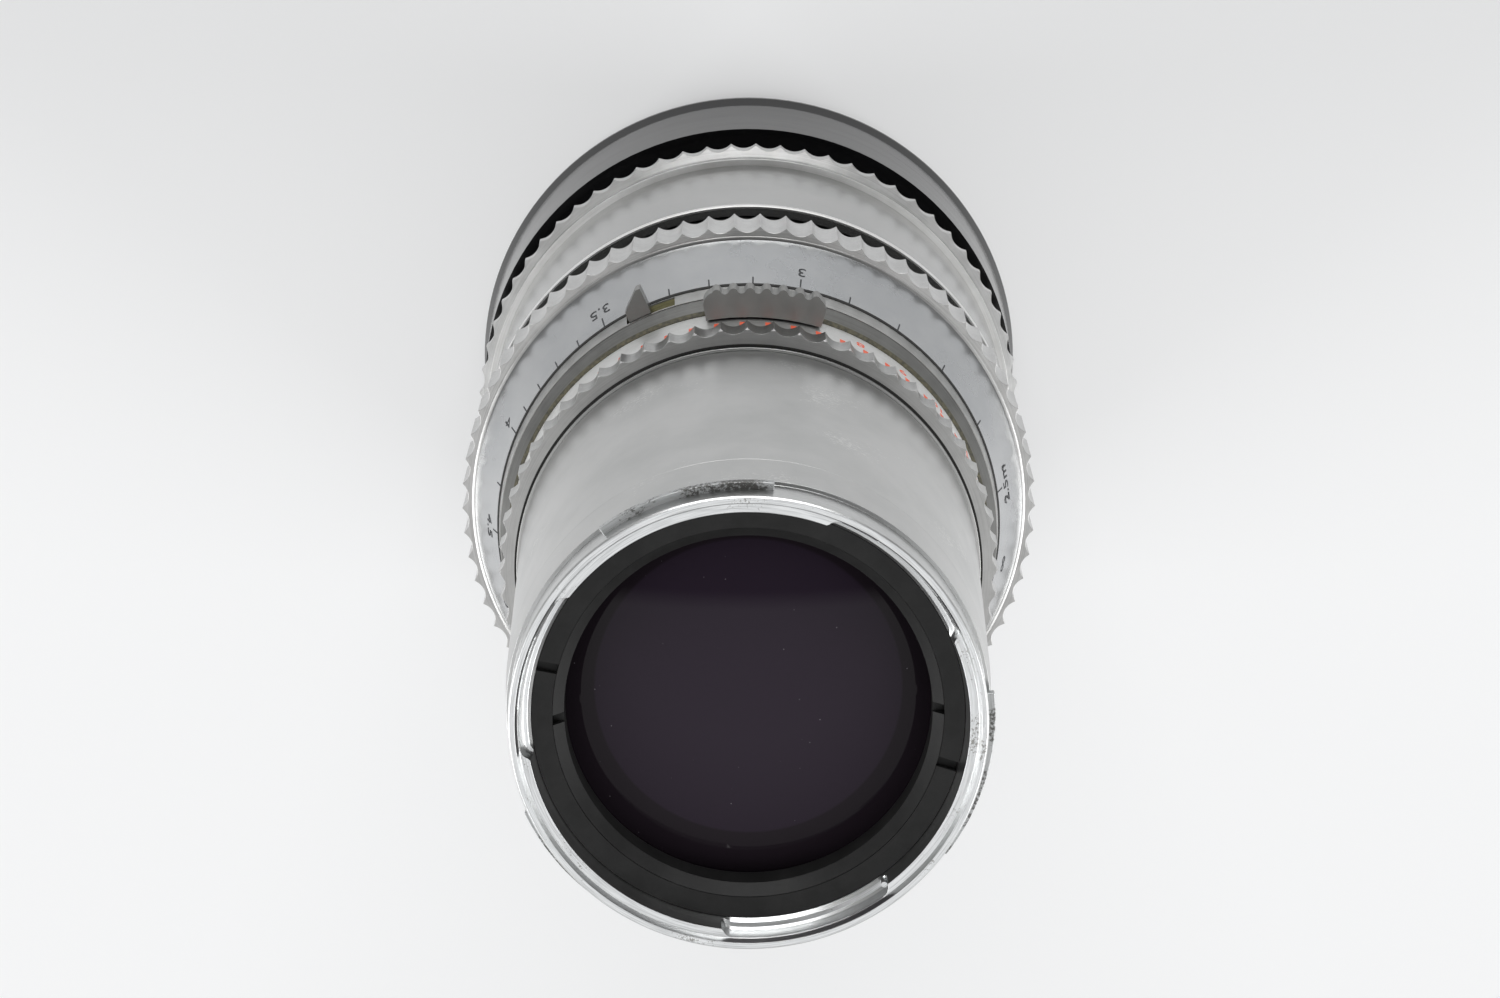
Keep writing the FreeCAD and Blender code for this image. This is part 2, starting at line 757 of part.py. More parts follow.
# Levers in the index ring: a curved foot in the slot and a wedge that rises from a low shoulder
# to a tip over its other end.
def slotLever(label, start):
    body = newBody(label)
    ring(body, "foot", "leverSlotFloor + slideFit", "leverNeck", "leverBottom", "leverTop",
         start=start, span="leverAngle")
    root = "leverNeck - rootDepth"
    wedge = [
        polar(root, start),
        polar("leverTip", f"{start} + leverTipLead"),
        polar("leverTip", f"{start} + leverTipLead + leverTipAngle"),
        polar("leverShoulder", f"{start} + leverAngle - leverTipLead"),
        polar(root, f"{start} + leverAngle"),
    ]
    extruded(body, "wedge", lambda sketch: drawOutline(sketch, wedge),
             "leverBottom", "leverTop - leverBottom")


# Flash terminal: a socket on the hidden side of the index ring.
def flashTerminal():
    body = newBody("flash_terminal")
    sketch = newSketch(body, "socket_outline", "XZ_Plane", turn="terminalAngle",
                       lift="(indexBottom + indexTop) / 2")
    seat = "indexRearRadius + seatFit"
    drawOutline(sketch, [
        ("leverSlotFloor + seatFit", "0"),
        ("terminalReach - terminalDepth", "0"),
        ("terminalReach - terminalDepth", "terminalBore"),
        ("terminalReach", "terminalBore"),
        ("terminalReach", "terminalRadius"),
        (seat, "terminalRadius"),
        (seat, "terminalShank"),
        ("leverSlotFloor + seatFit", "terminalShank"),
    ])
    socket = body.newObject("PartDesign::Revolution", "socket")
    socket.Profile = (sketch, [""])
    socket.ReferenceAxis = (sketch, ["H_Axis"])
    socket.Angle = 360
    sketch.Visibility = False
    body.Tip = socket


# Aperture ring: a cone with a notch in which the interlock tab sits.
def apertureRing():
    body = newBody("aperture_ring")
    turned(body, "cone", [
        ("ringBore", "apertureBottom"),
        ("apertureRadius", "apertureBottom"),
        ("speedBandRadius", "apertureTop"),
        ("ringBore", "apertureTop"),
    ])
    margin = "keyFit"
    ring(body, "tab_notch", "speedBandRadius", "apertureRadius + cutterReach",
         "apertureBottom - cutterReach", "apertureTop + cutterReach",
         start=f"tabStart - {margin}", span=f"tabAngle + 2 * {margin}", cut=True)


# Interlock tab: a foot in the notch of the aperture ring, and a grip with round teeth in front
# of it. The teeth are arcs that bulge and dip by turns.
def interlockTab():
    body = newBody("interlock_tab")
    ring(body, "foot", "tabUnderside", "tabFootTop", "apertureBottom + tabFootLift",
         "tabToothBottom + rootDepth", start="tabStart", span="tabAngle")
    corners = [polar("tabUnderside", "tabStart"), polar("tabUnderside + tabSide", "tabStart")]
    arcs = {1: ("tabShoulder", 1)}
    for half in range(2 * int(value("tabToothCount"))):
        arcs[len(corners)] = ("toothRounding", 1 if half % 2 == 0 else -1)
        corners.append(polar("tabMiddle", f"tabStart + tabTopLead + {half} * tabToothAngle / 2"))
    arcs[len(corners) - 1] = ("tabShoulder", 1)
    corners.append(polar("tabUnderside + tabSide", "tabStart + tabAngle"))
    corners.append(polar("tabUnderside", "tabStart + tabAngle"))
    arcs[len(corners) - 1] = ("tabUnderside", -1)
    extruded(body, "teeth", lambda sketch: drawOutline(sketch, corners, arcs),
             "tabToothBottom", "tabToothLength")


# Speed ring: a plain band for the numerals with a scalloped grip in front of it.
def speedRing():
    body = newBody("speed_ring")
    turned(body, "ring", [
        ("ringBore", "speedBottom"),
        ("speedBandRadius", "speedBottom"),
        ("speedBandRadius", "speedTop - speedFluteLength"),
        ("speedGripRadius", "speedTop - speedFluteLength"),
        ("speedGripRadius", "speedTop - speedChamfer"),
        ("speedGripRadius - speedChamfer", "speedTop"),
        ("ringBore", "speedTop"),
    ])
    flutes(body, "scallop", "speedGripRadius", "speedFluteDepth", "speedFluteRadius",
           "speedFlutePhase", "speedTop", "speedFluteLength", "speedFluteCount")


# Blade plates: a disc with a port, a rim that spaces it from the next plate, and a pin per blade.
def bladePlate(label, level):
    body = newBody(label)
    turned(body, "disc", [
        ("shutterPort", level),
        ("plateRadius", level),
        ("plateRadius", f"{level} + plateDisc + plateRim"),
        ("plateRadius - plateRimWall", f"{level} + plateDisc + plateRim"),
        ("plateRadius - plateRimWall", f"{level} + plateDisc"),
        ("shutterPort", f"{level} + plateDisc"),
    ])
    pin = extruded(body, "pin", lambda sketch: drawCircle(sketch, "pivotRadius", "0", "pivotPin"),
                   f"{level} + plateDisc", "plateRim - bladeStart")
    repeated(body, "pins", pin, "bladeCount")


# Shutter cover: closes the blade space towards the front glass.
def shutterCover():
    ring(newBody("shutter_cover"), "disc", "shutterPort", "plateRadius", "coverBottom",
         "cellBottom")


# Blades: a crescent with an ear that turns on its pin. Each blade lies in a layer of its own.
def bladeSet(name, floor):
    for number in range(int(value("bladeCount"))):
        body = newBody(f"{name}_{number + 1}")
        ring(body, "crescent", "bladeInner", "bladeOuter", "0", "bladeThickness",
             start="-bladeLead", span="bladeAngle")
        neck = [
            ("bladeOuter - rootDepth", "-earRadius"),
            ("pivotRadius", "-earRadius"),
            ("pivotRadius", "earRadius"),
            ("bladeOuter - rootDepth", "earRadius"),
        ]
        extruded(body, "neck", lambda sketch: drawOutline(sketch, neck), "0", "bladeThickness")
        extruded(body, "ear", lambda sketch: drawCircle(sketch, "pivotRadius", "0", "earRadius"),
                 "0", "bladeThickness")
        extruded(body, "eye",
                 lambda sketch: drawCircle(sketch, "pivotRadius", "0", "pivotPin + pinFit"),
                 "0", "bladeThickness", cut=True)
        level = f"{floor} + bladeStart + {number} * bladeLayer"
        angle = f"{number} * 360 / bladeCount"
        body.Placement = FreeCAD.Placement(
            FreeCAD.Vector(0, 0, value(level)),
            FreeCAD.Rotation(FreeCAD.Vector(0, 0, 1), value(angle)))
        body.setExpression("Placement.Base.z", bound(level))
        body.setExpression("Placement.Rotation.Angle", bound(angle))


# Front tube: the long, slightly conical tube with a lip and a groove at its rear end.
def frontTube():
    turned(newBody("front_tube"), "tube", [
        ("tubeBore", "tubeBottom"),
        ("tubeLipRadius", "tubeBottom"),
        ("tubeLipRadius", "tubeBottom + tubeLipLength"),
        ("tubeGrooveRadius", "tubeBottom + tubeLipLength"),
        ("tubeGrooveRadius", "tubeBottom + tubeLipLength + tubeGrooveLength"),
        ("tubeRearRadius", "tubeBottom + tubeLipLength + tubeGrooveLength"),
        ("tubeFrontRadius", "tubeTop"),
        ("tubeBore", "tubeTop"),
    ])


# Front bayonet ring: three lugs outside for a hood, and three tongues inside for a filter,
# parted by slots that a round cutter has milled.
def frontBayonetRing():
    body = newBody("front_bayonet_ring")
    rimInner = "rimRadius - rimFace"
    turned(body, "rim", [
        ("tubeBore", "tubeTop"),
        ("tubeFrontRadius", "tubeTop"),
        ("frontBandRadius", "grooveBottom"),
        ("rimRadius", "grooveBottom"),
        ("rimRadius", "rimTop - rimChamfer"),
        ("rimRadius - rimChamfer", "rimTop"),
        (rimInner, "rimTop"),
        (f"{rimInner} - rimBevelWidth", "tongueTop"),
        ("tubeBore + tongueFlare", "tongueTop"),
        ("tubeBore", "ringFace"),
    ])
    lug = ring(body, "lug", "rimRadius - rootDepth", "lugRadius", "lugBottom", "lugTop",
               start="lugStart", span="lugAngle")
    repeated(body, "lugs", lug, "bayonetCount")
    slot = turned(body, "slot", [
        ("tubeBore - cutterReach", "slotFloor"),
        ("slotRadius - slotRounding", "slotFloor"),
        ("slotRadius", "slotFloor + slotRounding"),
        ("slotRadius", "rimTop + cutterReach"),
        ("tubeBore - cutterReach", "rimTop + cutterReach"),
    ], arcs={1: ("slotRounding", 1)}, start="tongueStart + tongueAngle + slotEnd",
        span="slotPitch - tongueAngle - 2 * slotEnd", cut=True)
    repeated(body, "slots", slot, "bayonetCount")
    for name, angle in (("slot_start", "tongueStart + tongueAngle + slotEnd"),
                        ("slot_finish", "tongueStart + slotPitch - slotEnd")):
        centre = polar("tubeBore", angle)
        end = extruded(body, name, lambda sketch: drawCircle(sketch, *centre, "slotCutter"),
                       "rimTop + cutterReach", "rimTop + cutterReach - slotFloor",
                       cut=True, up=False)
        repeated(body, name + "s", end, "bayonetCount")


# Stop pin: ends the turn of a filter. It stands in a slot, just before the second tongue.
def filterStopPin():
    body = newBody("filter_stop_pin")
    centre = polar("slotRadius - stopPinInset", "tongueStart + slotPitch - stopPinLead")
    extruded(body, "pin", lambda sketch: drawCircle(sketch, *centre, "stopPinRadius"),
             "slotFloor", "stopPinLength")


# Outer retaining ring, just inside the rim.
def frontRetainingRing():
    body = newBody("front_retaining_ring")
    turned(body, "ring", [
        ("outerRingBore", "outerRingBottom"),
        ("tubeBore - pinFit", "outerRingBottom"),
        ("tubeBore - pinFit", "ringFace"),
        ("outerRingBore", "ringFace - outerRingSlope"),
    ])
    spannerSlots(body, "outerSlotAngle", "tubeBore", "ringFace - outerRingSlope / 2")


# Inner ring that holds the front glass.
def frontGlassRing():
    body = newBody("front_glass_ring")
    top = "ringFace - outerRingSlope - innerRingStep"
    turned(body, "ring", [
        ("innerRingBore", f"{top} - innerRingHeight"),
        ("outerRingBore - pinFit", f"{top} - innerRingHeight"),
        ("outerRingBore - pinFit", top),
        ("innerRingBore", f"{top} - innerRingSlope"),
    ])
    spannerSlots(body, "innerSlotAngle", "outerRingBore - pinFit", f"{top} - innerRingSlope / 2")


# Front cell: the barrel of the front glass, with seats for the single glass and the doublet.
def frontCell():
    turned(newBody("front_cell"), "cell", [
        ("doubletBore", "cellBottom"),
        ("tubeBore - pinFit", "cellBottom"),
        ("tubeBore - pinFit", "outerRingBottom"),
        ("outerRingBore", "outerRingBottom"),
        ("outerRingBore", "frontGlassBottom"),
        ("doubletRadius - glassStep", "frontGlassBottom"),
        ("doubletRadius - glassStep", "crownTop + glassSeat"),
        ("doubletBore", "crownTop + glassSeat"),
    ])


def sag(radius, curve):
    return f"({curve} - sqrt({curve} ^ 2 - ({radius}) ^ 2))"


# Front glass: a strongly curved front and a weakly curved back.
def frontElement():
    edge = "frontGlassRadius"
    turned(newBody("front_element"), "glass", [
        ("0", f"frontGlassBottom + glassSeat - {sag(edge, 'frontGlassBack')}"),
        (edge, "frontGlassBottom + glassSeat"),
        (edge, "frontGlassTop"),
        ("0", f"frontGlassTop + {sag(edge, 'frontGlassCurve')}"),
    ], arcs={0: ("frontGlassBack", 1), 2: ("frontGlassCurve", 1)})


# Doublet: a crown glass cemented to a flint glass.
def doublet():
    edge = "doubletRadius"
    cement = sag(edge, "cementCurve")
    turned(newBody("doublet_crown"), "glass", [
        ("0", f"crownBottom - {cement}"),
        (edge, "crownBottom"),
        (edge, "crownTop"),
        ("0", f"crownTop + {sag(edge, 'crownCurve')}"),
    ], arcs={0: ("cementCurve", 1), 2: ("crownCurve", 1)})
    turned(newBody("doublet_flint"), "glass", [
        ("0", f"flintBottom + {sag(edge, 'flintCurve')}"),
        (edge, "flintBottom"),
        (edge, "flintTop"),
        ("0", f"flintTop - {cement}"),
    ], arcs={0: ("flintCurve", -1), 2: ("cementCurve", -1)})


def doubletRetainingRing():
    ring(newBody("doublet_retaining_ring"), "ring", "doubletRadius - doubletRingWall",
         "doubletRadius", "doubletRingBottom", "flintBottom")


# Stray light tube: a ribbed tube whose ribs follow the cone of light to the shutter.
def strayLightTube():
    steps = int(value("ribCount"))
    corners = [("doubletRadius", "cellBottom"), ("doubletRadius", "cellBottom + ribTube")]
    for step in range(steps, 0, -1):
        share = f"{step} / {steps}"
        bore = f"ribRearBore + (ribFrontBore - ribRearBore) * {share}"
        level = f"cellBottom + ribTube * {share}"
        corners.append((bore, level))
        corners.append((f"{bore} + ribHeight", f"{level} - ribTube / {steps} + ribLand"))
        corners.append((bore, f"{level} - ribTube / {steps} + ribLand"))
    corners[-1] = (corners[-1][0], "cellBottom")
    corners[-2] = (corners[-2][0], "cellBottom")
    corners.pop()
    turned(newBody("stray_light_tube"), "ribs", corners)


# Rear cell with the rear glass and its ring, hung in the floor of the carriage.
def rearGroup():
    turned(newBody("rear_cell"), "cell", [
        ("rearGlassRadius + pinFit", "rearCellBottom"),
        ("cellRadius - pinFit", "rearCellBottom"),
        ("cellRadius - pinFit", "carriageTop"),
        ("rearCellBore", "carriageTop"),
        ("rearCellBore", "rearGlassTop + glassSeat"),
        ("rearGlassRadius + pinFit", "rearGlassTop + glassSeat"),
    ])
    edge = "rearGlassRadius"
    turned(newBody("rear_element"), "glass", [
        ("0", f"rearGlassBottom + {sag(edge, 'rearGlassCurve')}"),
        (edge, "rearGlassBottom"),
        (edge, "rearGlassTop"),
        ("0", f"rearGlassTop + {sag(edge, 'rearGlassBack')}"),
    ], arcs={0: ("rearGlassCurve", -1), 2: ("rearGlassBack", 1)})
    ring(newBody("rear_retaining_ring"), "ring", "rearGlassRadius - rearRingWall",
         "rearGlassRadius", "rearRingBottom", "rearGlassBottom")


rearCap()
mountPlate()
rearBaffle()
cockingShaft()
rearBarrel()
rearGripRing()
barrelBand()
guideTube()
guideKey(1)
guideKey(2)
carriageSleeve()
focusSleeve()
focusGripRing()
scaleConeRing()
shutterHousing()
indexRing()
slotLever("preview_lever", "leverStart")
slotLever("sync_lever", "syncStart")
flashTerminal()
apertureRing()
interlockTab()
speedRing()
bladePlate("diaphragm_plate", "indexBottom")
bladePlate("shutter_plate", "shutterPlateBottom")
shutterCover()
bladeSet("diaphragm_blade", "diaphragmPlateTop")
bladeSet("shutter_blade", "shutterPlateTop")
frontTube()
frontBayonetRing()
filterStopPin()
frontRetainingRing()
frontGlassRing()
frontCell()
frontElement()
doublet()
doubletRetainingRing()
strayLightTube()
rearGroup()

doc.recompute()

for item in doc.Objects:
    if "Invalid" in item.State or "Error" in item.State:
        raise RuntimeError(f"{item.Label} did not build: {item.State}")

for body in doc.findObjects("PartDesign::Body"):
    if body.Shape.isNull() or not body.Shape.isValid():
        raise RuntimeError(f"{body.Label} has no valid shape")
    body.Shape.exportStep(f"parts/{body.Label}.step")
    box = body.Shape.BoundBox
    print(f"{body.Label}: {body.Shape.Volume:.1f} mm3, z {box.ZMin:.2f} to {box.ZMax:.2f}")
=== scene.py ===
import bpy
import bmesh
import json
import math
from mathutils import Matrix, Vector


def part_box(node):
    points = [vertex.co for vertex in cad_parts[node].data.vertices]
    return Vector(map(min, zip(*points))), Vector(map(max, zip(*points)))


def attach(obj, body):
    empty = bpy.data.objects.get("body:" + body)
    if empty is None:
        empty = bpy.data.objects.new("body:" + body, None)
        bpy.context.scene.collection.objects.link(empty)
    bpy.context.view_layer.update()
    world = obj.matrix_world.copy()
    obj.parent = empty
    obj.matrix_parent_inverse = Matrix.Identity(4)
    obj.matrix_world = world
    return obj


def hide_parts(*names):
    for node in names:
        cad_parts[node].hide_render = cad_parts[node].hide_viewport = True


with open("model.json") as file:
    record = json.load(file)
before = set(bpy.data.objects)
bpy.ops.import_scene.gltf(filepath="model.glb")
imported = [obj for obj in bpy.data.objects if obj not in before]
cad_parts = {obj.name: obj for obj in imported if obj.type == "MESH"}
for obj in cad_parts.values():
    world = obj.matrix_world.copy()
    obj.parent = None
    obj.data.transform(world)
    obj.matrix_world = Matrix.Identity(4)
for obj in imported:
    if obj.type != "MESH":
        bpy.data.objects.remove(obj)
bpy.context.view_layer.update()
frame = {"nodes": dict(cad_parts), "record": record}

# The lens stands on its rear cap: +Z runs to the front glass, and the knurled tab is on the
# -Y side. Sizes are in millimetres, and every depth behind the rim is measured from rimTop.
mm = 0.001
weldGap = 0.002        # corners closer than this are one
turnSteps = 288        # corners round a turned piece
sharpAngle = 25        # degrees, past which an edge is rounded or stays an edge
forwardFacing = 0.75   # a face whose normal rises more than this looks to the front
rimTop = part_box("front_bayonet_ring")[1].z / mm


def deselectAll():
    if bpy.context.mode != "OBJECT":
        bpy.ops.object.mode_set(mode="OBJECT")
    bpy.ops.object.select_all(action="DESELECT")


def pick(piece):
    deselectAll()
    piece.select_set(True)
    bpy.context.view_layer.objects.active = piece


def behindRim(depth):
    return rimTop - depth


def linear(code):
    # sRGB hex to the linear colour that a shader takes
    shares = [int(code[place:place + 2], 16) / 255 for place in (1, 3, 5)]
    bright = [c / 12.92 if c <= 0.04045 else ((c + 0.055) / 1.055) ** 2.4 for c in shares]
    return (*bright, 1.0)


def addNode(tree, kind, inputs=None, **settings):
    made = tree.nodes.new(kind)
    for name, setting in settings.items():
        setattr(made, name, setting)
    for name, given in (inputs or {}).items():
        if isinstance(given, bpy.types.NodeSocket):
            tree.links.new(given, made.inputs[name])
        else:
            made.inputs[name].default_value = given
    return made


def newMaterial(name):
    material = bpy.data.materials.new(name)
    material.use_nodes = True
    material.node_tree.nodes.clear()
    return material, material.node_tree


def finishMaterial(tree, shader):
    addNode(tree, "ShaderNodeOutputMaterial", {"Surface": shader.outputs["BSDF"]})


def rampStops(rampNode, stops):
    ramp = rampNode.color_ramp
    while len(ramp.elements) < len(stops):
        ramp.elements.new(0.5)
    for element, (place, colour) in zip(ramp.elements, stops):
        element.position = place
        element.color = colour


def turnedPlace(tree, along=0.35):
    # distance from the axis, height, and a slow change round the turn, all in millimetres
    place = addNode(tree, "ShaderNodeTexCoord").outputs["Object"]
    parts = addNode(tree, "ShaderNodeSeparateXYZ", {"Vector": place}).outputs
    flat = addNode(tree, "ShaderNodeCombineXYZ", {"X": parts["X"], "Y": parts["Y"]})
    radius = addNode(tree, "ShaderNodeVectorMath", {0: flat.outputs["Vector"]}, operation="LENGTH")
    angle = addNode(tree, "ShaderNodeMath", {0: parts["Y"], 1: parts["X"]}, operation="ARCTAN2")
    wrapped = addNode(tree, "ShaderNodeCombineXYZ",
                      {"X": radius.outputs["Value"], "Y": parts["Z"]}).outputs["Vector"]
    inMillimetres = addNode(tree, "ShaderNodeVectorMath", {0: wrapped, "Scale": 1 / mm},
                            operation="SCALE").outputs["Vector"]
    slow = addNode(tree, "ShaderNodeMath", {0: angle.outputs["Value"], 1: along},
                   operation="MULTIPLY")
    turn = addNode(tree, "ShaderNodeCombineXYZ", {"Z": slow.outputs["Value"]}).outputs["Vector"]
    return addNode(tree, "ShaderNodeVectorMath", {0: inMillimetres, 1: turn},
                   operation="ADD").outputs["Vector"]


def mixColour(tree, share, first, second):
    mixed = addNode(tree, "ShaderNodeMix", data_type="RGBA")
    for socket, given in ((mixed.inputs[0], share), (mixed.inputs[6], first),
                          (mixed.inputs[7], second)):
        if isinstance(given, bpy.types.NodeSocket):
            tree.links.new(given, socket)
        else:
            socket.default_value = given
    return mixed.outputs[2]


# Satin chrome: hard chrome over a bead-blasted surface, so it is a metal with an even, cloudy
# shine. Handling leaves hairline marks on it that run mostly round the tube.
satin = {
    "clouds": 14.0,                      # uneven patches of the plating
    "blasting": 0.2,                     # pits of 0.05 mm, drawn coarser so that they show
    "handled": 11.0,                     # patches that hands have rubbed
    "marks": 3.2, "marksAround": 14.0,   # hairlines about 0.1 mm wide, under 1 mm long
    "scratch": "#E4E4E2",
}


def makeSatinChrome(name, tone, worn, roughness, spread=0.5, rubbed=0.8):
    material, tree = newMaterial(name)
    place = addNode(tree, "ShaderNodeTexCoord").outputs["Object"]
    cloud = addNode(tree, "ShaderNodeTexNoise",
                    {"Vector": place, "Scale": 1 / (satin["clouds"] * mm), "Detail": 5.0,
                     "Roughness": 0.6})
    blast = addNode(tree, "ShaderNodeTexNoise",
                    {"Vector": place, "Scale": 1 / (satin["blasting"] * mm), "Detail": 2.0})
    tones = addNode(tree, "ShaderNodeValToRGB", {"Fac": cloud.outputs["Fac"]})
    rampStops(tones, [(0.3, linear(worn)), (0.62, linear(tone))])
    marks = addNode(tree, "ShaderNodeTexNoise",
                    {"Vector": turnedPlace(tree, satin["marksAround"]), "Scale": satin["marks"],
                     "Detail": 2.0, "Roughness": 0.8})
    patches = addNode(tree, "ShaderNodeTexNoise",
                      {"Vector": place, "Scale": 1 / (satin["handled"] * mm), "Detail": 1.0})
    marked = addNode(tree, "ShaderNodeMath",
                     {0: marks.outputs["Fac"], 1: patches.outputs["Fac"]}, operation="MULTIPLY")
    share = addNode(tree, "ShaderNodeMapRange",
                    {"Value": marked.outputs["Value"], "From Min": 0.395, "From Max": 0.44,
                     "To Min": 0.0, "To Max": rubbed})
    colour = mixColour(tree, share.outputs["Result"], tones.outputs["Color"],
                       linear(satin["scratch"]))
    shine = addNode(tree, "ShaderNodeMapRange",
                    {"Value": cloud.outputs["Fac"], "From Min": 0.3, "From Max": 0.7,
                     "To Min": roughness + 0.012, "To Max": roughness - 0.012})
    bump = addNode(tree, "ShaderNodeBump",
                   {"Height": blast.outputs["Fac"], "Strength": 0.2, "Distance": 0.003 * mm})
    tangent = addNode(tree, "ShaderNodeTangent", direction_type="RADIAL", axis="Z")
    shader = addNode(tree, "ShaderNodeBsdfPrincipled",
                     {"Base Color": colour, "Metallic": 1.0, "Anisotropic": spread,
                      "Tangent": tangent.outputs["Tangent"],
                      "Roughness": shine.outputs["Result"], "Normal": bump.outputs["Normal"]})
    finishMaterial(tree, shader)
    return material


# Turned chrome: the tool leaves fine rings round the axis, which draw the shine out across them.
turned = {
    "clouds": 5.0,   # patches where the plating has dulled
    "feed": 0.12,    # rings of the tool, about 0.05 mm apart, drawn coarser so that they show
}


def makeTurnedChrome(name, tone, worn, roughness, spread=0.7, rings=0.1):
    material, tree = newMaterial(name)
    place = addNode(tree, "ShaderNodeTexCoord").outputs["Object"]
    cloud = addNode(tree, "ShaderNodeTexNoise",
                    {"Vector": place, "Scale": 1 / (turned["clouds"] * mm), "Detail": 5.0,
                     "Roughness": 0.65})
    lines = addNode(tree, "ShaderNodeTexNoise",
                    {"Vector": turnedPlace(tree), "Scale": 1 / turned["feed"], "Detail": 2.0,
                     "Roughness": 0.6})
    both = addNode(tree, "ShaderNodeMath", {0: cloud.outputs["Fac"], 1: lines.outputs["Fac"]},
                   operation="ADD")
    halved = addNode(tree, "ShaderNodeMath", {0: both.outputs["Value"], 1: 0.5},
                     operation="MULTIPLY")
    tones = addNode(tree, "ShaderNodeValToRGB", {"Fac": halved.outputs["Value"]})
    rampStops(tones, [(0.38, linear(worn)), (0.58, linear(tone))])
    bump = addNode(tree, "ShaderNodeBump",
                   {"Height": lines.outputs["Fac"], "Strength": rings, "Distance": 0.006 * mm})
    tangent = addNode(tree, "ShaderNodeTangent", direction_type="RADIAL", axis="Z")
    shader = addNode(tree, "ShaderNodeBsdfPrincipled",
                     {"Base Color": tones.outputs["Color"], "Metallic": 1.0,
                      "Roughness": roughness, "Anisotropic": spread,
                      "Tangent": tangent.outputs["Tangent"], "Normal": bump.outputs["Normal"]})
    finishMaterial(tree, shader)
    return material


# Worn chrome of the front bayonet: bright, with dark pits and rub marks where hoods were put on.
rubbedMetal = {
    "pits": 0.35,         # pits of about 0.1 mm, drawn coarser so that they show
    "areas": 6.0,         # worn areas
    "rings": 7.0,         # a few fine rings to the millimetre
    "sheen": "#CFD1D2",   # the duller of the bright tones
}


def makeWornChrome(name, tone, pit, roughness, wear):
    material, tree = newMaterial(name)
    place = addNode(tree, "ShaderNodeTexCoord").outputs["Object"]
    lines = addNode(tree, "ShaderNodeTexNoise",
                    {"Vector": turnedPlace(tree, 0.8), "Scale": rubbedMetal["rings"],
                     "Detail": 3.0, "Roughness": 0.6})
    pits = addNode(tree, "ShaderNodeTexNoise",
                   {"Vector": place, "Scale": 1 / (rubbedMetal["pits"] * mm), "Detail": 4.0,
                    "Roughness": 0.75})
    areas = addNode(tree, "ShaderNodeTexNoise",
                    {"Vector": place, "Scale": 1 / (rubbedMetal["areas"] * mm), "Detail": 2.0})
    worn = addNode(tree, "ShaderNodeMath", {0: pits.outputs["Fac"], 1: areas.outputs["Fac"]},
                   operation="MULTIPLY")
    share = addNode(tree, "ShaderNodeMapRange",
                    {"Value": worn.outputs["Value"], "From Min": wear, "From Max": wear + 0.06,
                     "To Min": 0.0, "To Max": 0.85})
    tones = addNode(tree, "ShaderNodeValToRGB", {"Fac": lines.outputs["Fac"]})
    rampStops(tones, [(0.3, linear(rubbedMetal["sheen"])), (0.6, linear(tone))])
    colour = mixColour(tree, share.outputs["Result"], tones.outputs["Color"], linear(pit))
    bump = addNode(tree, "ShaderNodeBump",
                   {"Height": worn.outputs["Value"], "Strength": 0.25, "Distance": 0.02 * mm})
    shader = addNode(tree, "ShaderNodeBsdfPrincipled",
                     {"Base Color": colour, "Metallic": 1.0, "Roughness": roughness,
                      "Normal": bump.outputs["Normal"]})
    finishMaterial(tree, shader)
    return material


# Black anodised aluminium: a dull, slightly grey black that dust shows on.
anodised = {
    "dust": 5.0,    # patches of dust
    "etch": 0.15,   # the etched grain is finer than 0.05 mm, drawn coarser so that it shows
}


def makeBlackAnodised(name, tone="#141414", dusty="#222222", roughness=0.55):
    material, tree = newMaterial(name)
    place = addNode(tree, "ShaderNodeTexCoord").outputs["Object"]
    cloud = addNode(tree, "ShaderNodeTexNoise",
                    {"Vector": place, "Scale": 1 / (anodised["dust"] * mm), "Detail": 6.0,
                     "Roughness": 0.7})
    grain = addNode(tree, "ShaderNodeTexNoise",
                    {"Vector": place, "Scale": 1 / (anodised["etch"] * mm), "Detail": 2.0})
    tones = addNode(tree, "ShaderNodeValToRGB", {"Fac": cloud.outputs["Fac"]})
    rampStops(tones, [(0.4, linear(tone)), (0.75, linear(dusty))])
    bump = addNode(tree, "ShaderNodeBump",
                   {"Height": grain.outputs["Fac"], "Strength": 0.3, "Distance": 0.004 * mm})
    shader = addNode(tree, "ShaderNodeBsdfPrincipled",
                     {"Base Color": tones.outputs["Color"], "Metallic": 0.0,
                      "Roughness": roughness, "IOR": 1.5, "Specular IOR Level": 0.35,
                      "Normal": bump.outputs["Normal"]})
    finishMaterial(tree, shader)
    return material


# Moulded gloss polystyrene of the cap: deep black, with hairline wiping marks.
def makeCapPlastic():
    material, tree = newMaterial("glossBlackPolystyrene")
    wipes = addNode(tree, "ShaderNodeTexNoise",
                    {"Vector": turnedPlace(tree, 3.0), "Scale": 0.6, "Detail": 8.0,
                     "Roughness": 0.7})
    shine = addNode(tree, "ShaderNodeMapRange",
                    {"Value": wipes.outputs["Fac"], "From Min": 0.35, "From Max": 0.75,
                     "To Min": 0.1, "To Max": 0.22})
    tones = addNode(tree, "ShaderNodeValToRGB", {"Fac": wipes.outputs["Fac"]})
    rampStops(tones, [(0.5, linear("#0B0B0C")), (0.8, linear("#151516"))])
    shader = addNode(tree, "ShaderNodeBsdfPrincipled",
                     {"Base Color": tones.outputs["Color"], "Roughness": shine.outputs["Result"],
                      "IOR": 1.59, "Specular IOR Level": 0.25})
    finishMaterial(tree, shader)
    return material


